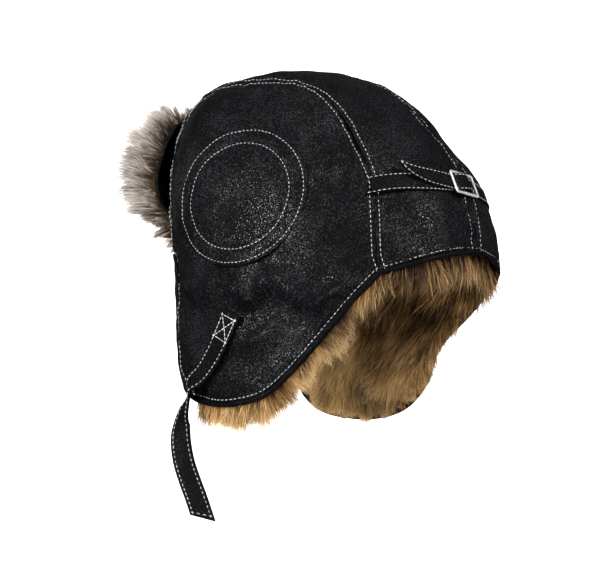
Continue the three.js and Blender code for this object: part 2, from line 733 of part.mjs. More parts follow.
// Chin strap: first over the flap's leather, then hanging free
// lift is the middle of the strap above the leather; turn swings its outer face to the front
const CHIN_WIDTH = 13.5;
const CHIN_WALL = 1.6;
const CHIN_END_SLANT = -9.5; // the rear edge of its cut end reaches further
const CHIN_ON_FLAP = [
  { along: -22, up: -23, lift: 1.5, turn: 0 },
  { along: -25, up: -29, lift: 1.5, turn: 0 },
  { along: -29.5, up: -38, lift: 1.6, turn: 0 },
  { along: -36, up: -48, lift: 1.9, turn: -4 },
  { along: -45, up: -58, lift: 3, turn: -14 },
  { along: -52.5, up: -64.5, lift: 6.4, turn: -36 },
];
const CHIN_FREE = [
  { across: 83.4, along: -57.6, up: -72, turn: -58 },
  { across: 82.4, along: -61, up: -79, turn: -42 },
  { across: 80, along: -64.5, up: -86, turn: -16 },
  { across: 80, along: -65.8, up: -94, turn: 4 },
  { across: 80, along: -65.3, up: -102, turn: 14 },
  { across: 80, along: -63, up: -112, turn: 20 },
  { across: 80, along: -59, up: -122, turn: 24 },
  { across: 80, along: -54, up: -133, turn: 26 },
  { across: 80, along: -49, up: -145, turn: 26 },
];
const CHIN_STEPS = 30;

function chinStations(flapRows, freeRows, steps) {
  const onFlap = flapRows.map((row) => {
    const base = flankPoint(row.along, row.up);
    const normal = outwards(base);
    return { point: base.clone().addScaledVector(normal, row.lift + relief(base)), normal, turn: row.turn };
  });
  const hung = new THREE.Vector3(1, 0, 0);
  const free = freeRows.map((row) => ({
    point: new THREE.Vector3(row.across, row.along, row.up),
    normal: hung,
    turn: row.turn,
  }));
  const rows = [...onFlap, ...free];
  const path = new THREE.CatmullRomCurve3(rows.map((row) => row.point), false, 'centripetal');
  return Array.from({ length: steps + 1 }, (_, step) => {
    const share = step / steps;
    const [first, part] = [Math.floor(share * (rows.length - 1)), (share * (rows.length - 1)) % 1];
    const low = rows[first];
    const high = rows[Math.min(first + 1, rows.length - 1)];
    const turn = low.turn + (high.turn - low.turn) * part;
    const face = turnedAbout(low.normal.clone().lerp(high.normal, part).normalize(), UPRIGHT, turn);
    const slant = step === steps ? CHIN_END_SLANT : 0;
    return { point: path.getPoint(share), face, width: CHIN_WIDTH, slant };
  });
}

// Back strap, threaded through a flat slide at the middle of the nape
// lift is the middle of the strap above the leather
const BACK_WIDTH = 11.2;
const BACK_LEFT = [
  { across: 67, up: 49.4, lift: 1.2, slant: -4.5 },
  { across: 61, up: 51.2, lift: 1.2 },
  { across: 52, up: 52.6, lift: 1.2 },
  { across: 43, up: 53.1, lift: 1.2 },
  { across: 34, up: 53.6, lift: 1.2 },
  { across: 27, up: 54.1, lift: 1 },
  { across: 20, up: 54.6, lift: 0.95 },
  { across: 13.4, up: 55, lift: 0.95 },
  { across: 7, up: 55.2, lift: 0.95 },
  { across: 4.9, up: 55.2, lift: 1.6 },
  { across: 4.9, up: 55.2, lift: 3.3 },
  { across: 7, up: 55.2, lift: 4 },
  { across: 8.6, up: 55.2, lift: 3.7 },
];
const BACK_RIGHT = [
  { across: -66, up: 49.6, lift: 1.2 },
  { across: -58, up: 51.8, lift: 1.2 },
  { across: -43, up: 53.1, lift: 1.2 },
  { across: -28, up: 53.9, lift: 1.2 },
  { across: -15, up: 54.6, lift: 1.2 },
  { across: -8, up: 55, lift: 1.5 },
  { across: -3.4, up: 55.2, lift: 2.2 },
  { across: 0.8, up: 55.2, lift: 3.9 },
  { across: 4.2, up: 55.2, lift: 5.3 },
  { across: 6.8, up: 55.2, lift: 5.6 },
  { across: 10.2, up: 55.2, lift: 5.2 },
  { across: 13.8, up: 55.2, lift: 3.9 },
  { across: 17.2, up: 55.2, lift: 2.6 },
  { across: 21.5, up: 55.2, lift: 2.5 },
  { across: 28, up: 55.5, lift: 2.7 },
  { across: 35, up: 56.1, lift: 3, width: 10.8 },
  { across: 41, up: 57, lift: 3.6, width: 9.4 },
  { across: 46, up: 58.5, lift: 4.6, width: 7.2 },
  { across: 49.6, up: 60.6, lift: 5.6, width: 4.4 },
  { across: 51.8, up: 62.8, lift: 6.6, width: 1.6 },
];

function backStations(rows) {
  return rows.map((row) => {
    const base = napePoint(row.across, row.up);
    const face = outwards(base);
    const point = base.clone().addScaledVector(face, row.lift + relief(base));
    return { point, face, width: row.width ?? BACK_WIDTH, slant: row.slant };
  });
}

// The slide: a flat frame with a round bar across its middle, square to the nape
const SLIDE = {
  length: 27,
  height: 15.2,
  rim: 1.6,
  thick: 1.2,
  corner: 1.5,
  innerCorner: 0.6,
  barRadius: 0.6,
  barDrop: 0.9, // the bar lies this much deeper than the frame
};
const BACK_SLIDE = { across: 6.6, up: 55.2, lift: 3.3 };

function slide() {
  const box = (length, height, corner) => {
    const [x, y] = [length / 2, height / 2];
    const path = new THREE.Path();
    path.moveTo(corner - x, -y);
    path.lineTo(x - corner, -y);
    path.quadraticCurveTo(x, -y, x, corner - y);
    path.lineTo(x, y - corner);
    path.quadraticCurveTo(x, y, x - corner, y);
    path.lineTo(corner - x, y);
    path.quadraticCurveTo(-x, y, -x, y - corner);
    path.lineTo(-x, corner - y);
    path.quadraticCurveTo(-x, -y, corner - x, -y);
    return path;
  };
  const outline = new THREE.Shape(box(SLIDE.length, SLIDE.height, SLIDE.corner).getPoints(3));
  const [openLength, openHeight] = [SLIDE.length - 2 * SLIDE.rim, SLIDE.height - 2 * SLIDE.rim];
  const window = box(openLength, openHeight, SLIDE.innerCorner);
  outline.holes.push(new THREE.Path(window.getPoints(2)));
  const frame = new THREE.ExtrudeGeometry(outline, { depth: SLIDE.thick, bevelEnabled: false, steps: 1 });
  const bar = new THREE.CylinderGeometry(SLIDE.barRadius, SLIDE.barRadius, SLIDE.height - SLIDE.rim, 8);
  bar.translate(0, 0, -SLIDE.barDrop + SLIDE.thick / 2);
  const solidOf = (geometry) => {
    geometry.deleteAttribute('normal');
    geometry.deleteAttribute('uv');
    return toSolid(mergeVertices(geometry, 1e-4));
  };
  return fromSolid(solidOf(frame).add(solidOf(bar)));
}

// Turns a slide's face to a normal and puts it at a point, with its height along the given way
function setOn(geometry, point, normal, height) {
  const upWay = height.clone().addScaledVector(normal, -height.dot(normal)).normalize();
  const lengthWay = upWay.clone().cross(normal);
  const turn = new THREE.Matrix4().makeBasis(lengthWay, upWay, normal).setPosition(point);
  return geometry.applyMatrix4(turn);
}

function backSlide() {
  const base = napePoint(BACK_SLIDE.across, BACK_SLIDE.up);
  const normal = outwards(base);
  const lift = BACK_SLIDE.lift + relief(base) - SLIDE.thick / 2;
  return setOn(slide(), base.clone().addScaledVector(normal, lift), normal, UPRIGHT);
}

// On the hidden right flap: a short tab folded round the bar of a plain slide
const RIGHT_TAB = [
  { along: -22, up: -23, lift: 1.2 },
  { along: -25, up: -29, lift: 1.2 },
  { along: -28, up: -35, lift: 1 },
  { along: -30.4, up: -39.8, lift: 1 },
  { along: -31.4, up: -41.6, lift: 1.7 },
  { along: -31.4, up: -41.6, lift: 3.4 },
  { along: -30.4, up: -39.8, lift: 4.1 },
  { along: -29.6, up: -38.2, lift: 3.8 },
];
const RIGHT_SLIDE = { along: -30.5, up: -40, lift: 3.4 };

function rightTab() {
  const stations = RIGHT_TAB.map((row) => {
    const base = mirrored(flankPoint(row.along, row.up));
    const face = outwards(base);
    return { point: base.clone().addScaledVector(face, row.lift + relief(base)), face, width: BACK_WIDTH };
  });
  return strap(stations, STRAP_WALL);
}

function rightSlide() {
  const base = mirrored(flankPoint(RIGHT_SLIDE.along, RIGHT_SLIDE.up));
  const normal = outwards(base);
  const first = RIGHT_TAB[0];
  const across = mirrored(flankPoint(first.along, first.up)).sub(base).cross(normal);
  const lift = RIGHT_SLIDE.lift + relief(base) - SLIDE.thick / 2;
  return setOn(slide(), base.clone().addScaledVector(normal, lift), normal, across);
}

// The hat

place('crown_panel_left', crownPanel(1), 'leather');
place('crown_panel_right', crownPanel(-1), 'leather');
place('side_panel_left', sidePanel(1), 'leather');
place('side_panel_right', sidePanel(-1), 'leather');
place('ear_disc_left', earDisc(1), 'leather');
place('ear_disc_right', earDisc(-1), 'leather');
place('rolled_hem', rolledHem(), 'leather');
place('front_flap', frontFlap(), 'leather');
place('front_flap_fur', frontFlapFur(), 'flapFur');
place('fur_lining_cap', liningCap(), 'liningFur');
place('fur_lining_flap_left', liningFlap(1), 'liningFur');
place('fur_lining_flap_right', liningFlap(-1), 'liningFur');
place('chin_strap_left', strap(chinStations(CHIN_ON_FLAP, CHIN_FREE, CHIN_STEPS), CHIN_WALL), 'leather');
place('chin_tab_right', rightTab(), 'leather');
place('chin_buckle_right', rightSlide(), 'nickel');
place('back_strap_left', strap(backStations(BACK_LEFT), STRAP_WALL), 'leather');
place('back_strap_right', strap(backStations(BACK_RIGHT), STRAP_WALL), 'leather');
place('back_buckle', backSlide(), 'nickel');

export default hat;
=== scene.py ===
# %% [markdown]
# # A trooper hat in black leather and golden fur
# The hat is a sewn leather cap: a crown in two halves, two side panels that run down into ear flaps, a round
# piece over each ear, a front flap turned up, and long fur inside. The part's own solids hold that structure.
# This script loads them as a fixed frame and dresses each one with a fine surface that keeps its form.
# Lengths are written in millimetres, and one function turns them to Blender's metres.

import bmesh
import bpy
import numpy as np
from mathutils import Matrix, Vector


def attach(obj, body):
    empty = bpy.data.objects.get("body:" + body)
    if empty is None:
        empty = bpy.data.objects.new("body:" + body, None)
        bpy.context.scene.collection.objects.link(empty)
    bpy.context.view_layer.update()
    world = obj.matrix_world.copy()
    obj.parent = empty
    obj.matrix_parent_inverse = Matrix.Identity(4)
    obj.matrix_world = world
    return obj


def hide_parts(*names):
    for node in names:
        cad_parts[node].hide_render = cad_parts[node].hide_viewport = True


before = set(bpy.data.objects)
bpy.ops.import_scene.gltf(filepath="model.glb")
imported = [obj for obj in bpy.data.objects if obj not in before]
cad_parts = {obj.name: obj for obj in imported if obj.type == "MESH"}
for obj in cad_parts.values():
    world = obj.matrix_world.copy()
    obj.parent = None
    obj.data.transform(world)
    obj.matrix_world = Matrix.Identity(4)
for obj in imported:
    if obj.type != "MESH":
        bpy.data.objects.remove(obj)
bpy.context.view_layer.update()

MM = 0.001
print("solids in the frame:", len(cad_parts))

# %% [markdown]
# ## The camera
# It stands a little lower than the hat and to the rear of its left side, about 1.3 m away, as in a shop
# photograph. It is placed first, so that every look at the work below is from the same spot.

# %% Camera
TURN = np.radians(31.8)  # round from the hat's left side towards its nape
RISE = np.radians(-6.95)
DISTANCE = 1266.0
ASIDE = -23.5  # the aim is this far along the camera's right hand from the origin
AIM_UP = 3.05
FRAME_WIDTH = 607
MM_PER_PIXEL = 0.63
SENSOR = 36.0

away = np.array([np.cos(TURN) * np.cos(RISE), np.sin(TURN) * np.cos(RISE), np.sin(RISE)])
right_hand = np.array([-np.sin(TURN), np.cos(TURN), 0.0])
aim = right_hand * ASIDE + np.array([0, 0, AIM_UP])
camera = bpy.data.objects.new("camera", bpy.data.cameras.new("camera"))
bpy.context.scene.collection.objects.link(camera)
bpy.context.scene.camera = camera
camera.data.sensor_width = SENSOR
camera.data.lens = SENSOR * DISTANCE / (FRAME_WIDTH * MM_PER_PIXEL)
camera.location = Vector((aim + away * DISTANCE) * MM)
camera.rotation_euler = Vector(-away).to_track_quat("-Z", "Y").to_euler()
print(f"camera: {camera.data.lens:.1f} mm lens at {tuple(round(c, 3) for c in camera.location)}")

# %% [markdown]
# ## The form
# A cap on a head is close to an egg with a flat-sided plan, so a superellipse suits it better than a ball.
# Its height, its lean to the front and the inward tuck below the band are a few numbers. reach_of says how
# far out a point lies, and every panel, strap and hair below is placed by it.

# %% The egg of the head
HALF_WIDTH = 90.0
HALF_LENGTH = 98.5
CROWN_HEIGHT = 137.5
CROWN_LEAN = 34.5
LEAN_POWER = 1.67
PLAN_POWER = 2.45
PROFILE_POWER = 2.75
REAR_NARROWING = 0.105
TUCK_DEPTH = 80.0
SIDE_TUCK = 0.08
NAPE_TUCK = 0.15
BROW_TUCK = 0.03
NAPE_TUCK_POWER = 1.3
HEART = np.array([0.0, -8.0, 20.0])  # every panel is seen whole from here


def reach_of(points):
    """Below 1 inside the form, 1 on the leather's outer face, above 1 outside."""
    x, y, up = points[..., 0], points[..., 1], points[..., 2]
    low = np.maximum(-up / TUCK_DEPTH, 0)
    half = HALF_WIDTH * (1 - SIDE_TUCK * low**2)
    nape = HALF_LENGTH * (1 - NAPE_TUCK * low**NAPE_TUCK_POWER)
    brow = HALF_LENGTH * (1 - BROW_TUCK * low**2)
    along = y + CROWN_LEAN * np.clip(up / CROWN_HEIGHT, 0, 1) ** LEAN_POWER
    lengthwise = np.where(along > 0, along / nape, along / brow)
    crosswise = np.abs(x) / (half * (1 - REAR_NARROWING * np.clip(lengthwise, -1, 1)))
    plan = (crosswise**PLAN_POWER + np.abs(lengthwise) ** PLAN_POWER) ** (1 / PLAN_POWER)
    rise = np.maximum(up / CROWN_HEIGHT, 0)
    return (plan**PROFILE_POWER + rise**PROFILE_POWER) ** (1 / PROFILE_POWER)


def unit(vectors):
    """The same directions, one long."""
    return vectors / np.maximum(np.linalg.norm(vectors, axis=-1, keepdims=True), 1e-9)


def outwards(points):
    """The way out of the form at each point."""
    step = 0.5 * np.eye(3)
    slopes = [reach_of(points + step[i]) - reach_of(points - step[i]) for i in range(3)]
    return unit(np.stack(slopes, axis=-1))


def seen_from(start, ways, longest=220.0):
    """The points where rays from a start inside the form meet its face."""
    near = np.zeros(ways.shape[:-1])
    far = np.full(ways.shape[:-1], longest)
    for _ in range(30):
        middle = (near + far) / 2
        inside = reach_of(start + ways * middle[..., None]) < 1
        near = np.where(inside, middle, near)
        far = np.where(inside, far, middle)
    return start + ways * near[..., None]


def on_form(points):
    """Each point moved onto the form, along its ray from the form's heart."""
    return seen_from(HEART, unit(points - HEART))


def flank_point(along, up, side=1):
    """The point of the form beside the head at this place along and up."""
    start = np.stack([0 * along, along, up], axis=-1)
    return seen_from(start, np.broadcast_to([float(side), 0, 0], start.shape))


def nape_point(across, up):
    """The point of the form behind the head at this place across and up."""
    start = np.stack([across, 0 * across, up], axis=-1)
    return seen_from(start, np.broadcast_to([0, 1.0, 0], start.shape))


print("form at the band, left:", flank_point(np.array(0.0), np.array(0.0)).round(1))

# %% [markdown]
# ## Seams and edges
# Four seams and three edges cut the form into panels. Each is a short table of places across, along and up,
# from front to back or back to front, and a smooth line goes through its rows.

# %% Seam and edge tables
ARCH = [
    (69, 66, -1), (69, 65, 12), (67, 63, 36), (64.5, 60, 54), (63, 50, 75), (58.5, 32, 100), (54, 8, 118),
    (52.5, -20, 123), (51.5, -48, 126), (54, -68, 118), (58, -81, 98), (62, -87, 66), (64, -87, 40),
    (65, -85, 20),
]
BROW_HEM = [(0, -98, 26), (26, -97, 25), (48, -92, 23), (65, -85, 20)]
FLAP_HEM = [
    (65, -85, 20), (71.5, -78, 13), (73, -75.5, -4), (72, -74.5, -30), (71.5, -73, -52), (75, -64.5, -66),
    (82, -46, -74), (85, -22, -75.5), (85, -3, -71), (84, 15, -57), (81, 38, -34), (76, 53, -16),
    (69, 66, -1),
]
NAPE_HEM = [(69, 66, -1), (60, 77, 3), (46, 87, 8.5), (26, 95, 13.5), (0, 98, 16.5)]
SEAM_SWAY = [  # up, across: the middle seam wanders a little to the side on its way down the back
    (16, 5.5), (32, 2.4), (44, 0.8), (58, -3), (70, -6), (84, -5), (104, -1), (138, 0),
]


def spline(rows, steps=24):
    """A smooth line through the rows, a centripetal Catmull-Rom spline."""
    rows = np.array(rows, float)
    rows = np.vstack([2 * rows[0] - rows[1], rows, 2 * rows[-1] - rows[-2]])
    made = []
    for p0, p1, p2, p3 in zip(rows, rows[1:], rows[2:], rows[3:]):
        d0, d1, d2 = [max(np.linalg.norm(b - a) ** 0.5, 1e-4) for a, b in ((p0, p1), (p1, p2), (p2, p3))]
        m1 = d1 * ((p1 - p0) / d0 - (p2 - p0) / (d0 + d1) + (p2 - p1) / d1)
        m2 = d1 * ((p2 - p1) / d1 - (p3 - p1) / (d1 + d2) + (p3 - p2) / d2)
        t = np.linspace(0, 1, steps, endpoint=False)[:, None]
        made.append(p1 + m1 * t + (3 * (p2 - p1) - 2 * m1 - m2) * t**2 + (2 * (p1 - p2) + m1 + m2) * t**3)
    return np.vstack([*made, rows[-2:-1]])


def gone_along(line):
    """The distance from a line's start at each of its points."""
    return np.concatenate([[0], np.cumsum(np.linalg.norm(np.diff(line, axis=0), axis=1))])


def read_at(places, stations, table):
    """The rows of a table, read at places between its stations."""
    return np.stack([np.interp(places, stations, column) for column in table.T], axis=1)


def spaced(line, count):
    """The line again, in count even steps of its length."""
    gone = gone_along(line)
    return read_at(np.linspace(0, gone[-1], count + 1), gone, line)


def length_of(line):
    """The length of a line in millimetres."""
    return float(np.linalg.norm(np.diff(line, axis=0), axis=1).sum())


def edge_line(rows, count):
    """Evenly spaced points on the form, through the rows of a table."""
    return on_form(spaced(spline(rows), count))


def shifted(line, distance):
    """The line moved over the form to the right of its way, as seen from outside."""
    way = np.gradient(line, axis=0)
    return on_form(line + unit(np.cross(way, outwards(line))) * distance)


def on_side(points, side):
    """The same places on the hat's left side, 1, or on its right side, -1."""
    return points * np.array([side, 1, 1])


def middle_line(count, away=0.0):
    """The middle seam from brow to nape over the top, or a line this far to the left of it."""
    start, end = [np.arctan2(row[2] - HEART[2], row[1] - HEART[1]) for row in (BROW_HEM[0], NAPE_HEM[-1])]
    turns = np.linspace(start, end, count + 1)
    line = seen_from(HEART, np.stack([0 * turns, np.cos(turns), np.sin(turns)], axis=1))
    sway = spline(SEAM_SWAY)
    across = np.interp(line[:, 2], sway[:, 0], sway[:, 1]) * np.clip(line[:, 1] / 15, 0, 1)
    return on_form(line + np.stack([across + away, 0 * across, 0 * across], axis=1))


print(f"arched seam {length_of(edge_line(ARCH, 200)):.0f} mm")
print(f"flap edge {length_of(edge_line(FLAP_HEM, 200)):.0f} mm")

# %% [markdown]
# ## Relief of the leather
# A sewn shell is never an egg. The seams sink where the thread pulls, the turned allowance under each seam
# lifts a band beside it, and soft folds run where the flap has bent. Each is a small height added along the
# way out, so the panels still meet edge to edge.

# %% Folds and seams as heights
FOLDS = [  # side, along, up, half length, half breadth, turn from level, height
    (1, -40, -7, 24, 8, -12, 2.0), (1, -46, -24, 20, 8, -4, -2.0), (1, 12, -12, 24, 8, -34, 2.4),
    (1, -6, -22, 18, 8, 10, -2.2), (-1, -34, -10, 26, 8, 10, 2.2), (-1, -20, -26, 24, 8, -8, -2.0),
    (-1, 18, -14, 22, 8, -30, 2.0), (-1, 40, -38, 34, 26, -50, -14.0), (0, 46, 20, 24, 9, 64, -1.6),
    (0, 62, 91, 24, 16, -50, -3.2), (0, 90, 33, 18, 14, 90, 1.9),
]
CREASES = [  # height, half width, places along and up
    (2.2, 3.4, [(-62, 20), (-47, 9), (-33, 4)]),
    (2.9, 3.4, [(-61, -4), (-43, -6), (-28, -2), (-19, -9), (-9, -18), (-3, -12), (2, -5), (10, -4),
                (17, -11), (23, -17), (34, -20), (41, -15), (49, -10)]),
    (2.2, 4.0, [(-8, -41), (6, -33)]),
    (1.2, 2.4, [(37, 70), (30, 54)]),
    (1.2, 2.4, [(37, 71), (46, 58)]),
    (0.4, 1.6, [(71, 41), (73, 29)]),
    (0.4, 1.6, [(66, 42), (68, 30)]),
]
VALLEY = 0.42  # a crease's share of its height that lies as a dip on each side of it
RIGHT_CREASES = 0.45  # the wearer's right side is creased less
SEAM_SINK = 0.9
SEAM_HALF = 0.9
ALLOWANCE = 6.5
ALLOWANCE_RISE = 0.45
STITCH_AWAY = 2.6
STITCH_SINK = 0.35
MIDDLE_STITCH_AWAY = [(20, 5.6), (45, 5.9), (70, 4.75), (92, 2.7)]  # up, distance from the seam
HEM_STITCH = 0.9  # the hem's stitches lie this far above the panel's edge
HEM_SINK = 0.45
WAVES = 7  # crossed in every ripple


def fold_heights(points, spread=1.0):
    """How much of each fold reaches each point."""
    made = []
    for side, along, up, half_long, half_wide, turn, height in FOLDS:
        turned = np.radians(turn)
        dy, dz = points[..., 1] - along, points[..., 2] - up
        far = (dy * np.cos(turned) + dz * np.sin(turned)) / (half_long * spread)
        wide = (dz * np.cos(turned) - dy * np.sin(turned)) / (half_wide * spread)
        here = (side == 0) | (np.sign(points[..., 0]) == side)
        made.append(here * height * np.exp(-(far**2) - wide**2))
    return made


def fold_sum(points):
    """The broad folds alone, which both faces of the leather follow."""
    return sum(fold_heights(points))


def distance_to(points, line):
    """The distance from each point to a line of short segments."""
    flat = points.reshape(-1, 3)
    best = np.full(len(flat), 1e9)
    for start, end in zip(line[:-1], line[1:]):
        way = end - start
        share = np.clip((flat - start) @ way / max(way @ way, 1e-9), 0, 1)
        best = np.minimum(best, ((flat - start - share[:, None] * way) ** 2).sum(axis=1))
    return np.sqrt(best).reshape(points.shape[:-1])


def ripple(points, wavelength, seed):
    """A gentle uneven height between about -1 and 1, from a few crossed waves."""
    random = np.random.default_rng(seed)
    total = np.zeros(points.shape[:-1])
    for _ in range(WAVES):
        way = unit(random.normal(size=3))
        length = wavelength * random.uniform(0.7, 1.4)
        start = random.uniform(0, 6.28)
        total += np.sin(points @ way * (2 * np.pi / length) + start)
    return total / np.sqrt(WAVES / 2)


def bell(distance, half):
    """1 on a line, falling off smoothly over a half width."""
    return np.exp(-((distance / half) ** 2))


def crease_sum(points):
    """The sharp creases, seen from the side."""
    flat = points * np.array([0, 1, 1])
    total = np.zeros(points.shape[:-1])
    for height, half, places in CREASES:
        line = np.array([(0, along, up) for along, up in places], float)
        away = distance_to(flat, line)
        total += height * (bell(away, half) - VALLEY * bell(away - 3.2 * half, 1.7 * half))
    side_share = np.where(points[..., 0] > 0, 1.0, RIGHT_CREASES)
    return total * side_share * np.clip(np.abs(points[..., 0]) / 30 - 1, 0, 1)


def middle_stitch_away(points):
    """The distance of the middle seam's stitches from it, which shrinks towards the top."""
    levels, distances = np.array(MIDDLE_STITCH_AWAY).T
    return np.interp(points[..., 2], levels, distances)


def seam_height(distance, stitch_away):
    """The relief across a seam that is stitched down on both sides."""
    band = ALLOWANCE_RISE / (1 + np.exp((distance - ALLOWANCE) * 1.6))
    return band - SEAM_SINK * bell(distance, SEAM_HALF) - STITCH_SINK * bell(distance - stitch_away, 0.9)


print("folds:", len(FOLDS), "creases:", len(CREASES))

# %% [markdown]
# ## Meshes from grids
# Leather is cut flat and has two faces and an edge. A grid of points for the outer face and one for the inner
# face, joined round their rims, is that wall exactly, and is closed, which a thickness modifier can't promise
# where an edge is sharply curved.

# %% Grids to closed meshes
def wall_between(outer, inner, ring=False):
    """Corners and faces of the wall between two grids; a ring closes on its first column."""
    rows, columns = outer.shape[:2]
    points = np.concatenate([outer.reshape(-1, 3), inner.reshape(-1, 3)])
    at = np.arange(2 * rows * columns).reshape(2, rows, columns)
    if ring:
        at = np.concatenate([at, at[:, :, :1]], axis=2)

    def squares(a, b, c, d):
        return np.stack([a, b, c, d], axis=-1).reshape(-1, 4)

    faces = [
        squares(at[0, :-1, :-1], at[0, :-1, 1:], at[0, 1:, 1:], at[0, 1:, :-1]),
        squares(at[1, :-1, :-1], at[1, 1:, :-1], at[1, 1:, 1:], at[1, :-1, 1:]),
        squares(at[0, 0, :-1], at[1, 0, :-1], at[1, 0, 1:], at[0, 0, 1:]),
        squares(at[0, -1, :-1], at[0, -1, 1:], at[1, -1, 1:], at[1, -1, :-1]),
    ]
    if not ring:
        faces.append(squares(at[0, :-1, 0], at[0, 1:, 0], at[1, 1:, 0], at[1, :-1, 0]))
        faces.append(squares(at[0, :-1, -1], at[1, :-1, -1], at[1, 1:, -1], at[0, 1:, -1]))
    return points, np.concatenate(faces)


def bar_through(sections, ring=False):
    """Corners and faces of a bar through loops of points, with flat ends unless it is a ring."""
    count, sides = sections.shape[:2]
    at = np.arange(count * sides).reshape(count, sides)
    loops = np.concatenate([at, at[:, :1]], axis=1)
    if ring:
        loops = np.concatenate([loops, loops[:1]], axis=0)
    faces = np.stack([loops[:-1, :-1], loops[:-1, 1:], loops[1:, 1:], loops[1:, :-1]], axis=-1).reshape(-1, 4)
    faces = [list(face) for face in faces]
    if not ring:
        faces += [list(at[0][::-1]), list(at[-1])]
    return sections.reshape(-1, 3), faces


def mesh_piece(name, points, faces, material, sharp=35.0):
    """A smooth-shaded object at the origin, its faces pointing out and its hard edges kept."""
    mesh = bpy.data.meshes.new(name)
    mesh.from_pydata((np.asarray(points) * MM).tolist(), [], [[int(i) for i in face] for face in faces])
    worked = bmesh.new()
    worked.from_mesh(mesh)
    bmesh.ops.remove_doubles(worked, verts=worked.verts, dist=0.002 * MM)
    bmesh.ops.dissolve_degenerate(worked, edges=worked.edges, dist=0.001 * MM)
    bmesh.ops.recalc_face_normals(worked, faces=worked.faces)
    worked.to_mesh(mesh)
    worked.free()
    mesh.shade_smooth()
    mesh.set_sharp_from_angle(angle=np.radians(sharp))
    mesh.materials.append(material)
    made = bpy.data.objects.new(name, mesh)
    bpy.context.scene.collection.objects.link(made)
    return made


def dress(piece, node):
    """The piece is hung under the root body, and may stand for a solid of the frame, which is then hidden."""
    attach(piece, "root")
    if node:
        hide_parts(node)
    piece.data.calc_loop_triangles()
    print(f"{piece.name}: {len(piece.data.loop_triangles)} triangles")
    return piece


# %% [markdown]
# ## Materials
# Colours are given as sRGB hex values. Blender's shaders work in linear light, so one function turns
# them. One small function adds every node with its settings and links, in shaders and in geometry trees
# alike. An input may be a value, a socket, or a whole node, which then gives its first output in use.

# %% Adding nodes
MATH = "ShaderNodeMath"
VECTORS = "ShaderNodeVectorMath"
RANGE = "ShaderNodeMapRange"
NOISE = "ShaderNodeTexNoise"
CELLS = "ShaderNodeTexVoronoi"
RAMP = "ShaderNodeValToRGB"
BUMP = "ShaderNodeBump"
SMOOTH = {"interpolation_type": "SMOOTHSTEP"}


def linear(colour):
    """An sRGB hex colour as linear RGBA."""
    parts = [int(colour[i : i + 2], 16) / 255 for i in (1, 3, 5)]
    return [c / 12.92 if c <= 0.04045 else ((c + 0.055) / 1.055) ** 2.4 for c in parts] + [1.0]


def set_stops(elements, stops):
    """Gives a colour ramp its (place, hex colour) stops."""
    while len(elements) < len(stops):
        elements.new(0.5)
    for element, (place, colour) in zip(elements, stops):
        element.position = place
        element.color = linear(colour)


def fill(tree, node, inputs):
    """Sets a node's inputs, by number or by name, and links those that are a node or a socket."""
    for key, value in inputs.items():
        if isinstance(key, str):
            namesakes = [socket for socket in node.inputs if socket.name == key.replace("_", " ")]
            goal = next((socket for socket in namesakes if socket.enabled), namesakes[0])
        else:
            goal = node.inputs[key]
        if isinstance(value, bpy.types.Node):
            value = next(socket for socket in value.outputs if socket.enabled)
        if isinstance(value, bpy.types.NodeSocket):
            tree.links.new(value, goal)
        else:
            goal.default_value = value
    return node


def add(tree, kind, settings=None, *ordered, **named):
    """A new node of this kind, with its settings and its inputs in order or by name."""
    node = tree.nodes.new(kind)
    for key, value in (settings or {}).items():
        if key == "stops":
            set_stops(node.color_ramp.elements, value)
        else:
            setattr(node, key, value)
    return fill(tree, node, {**dict(enumerate(ordered)), **named})


def material_named(name):
    """A new material, its node tree, and its shader."""
    made = bpy.data.materials.new(name)
    made.use_nodes = True
    print("material:", name)
    return made, made.node_tree, made.node_tree.nodes["Principled BSDF"]


# %% [markdown]
# ## The leather
# It is split hide or cloth with a black polyurethane face, pressed with a crackled grain about a millimetre
# across. The face is nearly black and dull. The highest spots of the grain are worn glossy, and their colour
# is painted paler too, a painted glint: each flashes while the cracks between stay dull, and that is the
# sparkle. A Voronoi pattern's distance to its edges gives the cells, noise picks those that are worn and
# painted pale, and bump lifts them. The cells are a little larger than the real ones, so that they show.
# The straps and the turned edge have the same face, much less worn and with a fainter painted glint.

# %% Crackled leather
GRAIN = 1.3  # millimetres from cell to cell
FINE_GRAIN = 0.6
SPECK = 0.75 * GRAIN
WANDER = 0.9  # how far the cells' edges stray
GRAIN_DEPTH = 0.3
FINE_DEPTH = 0.1
WORN_ROUGH = 0.27
DULL_ROUGH = WORN_ROUGH + 0.2


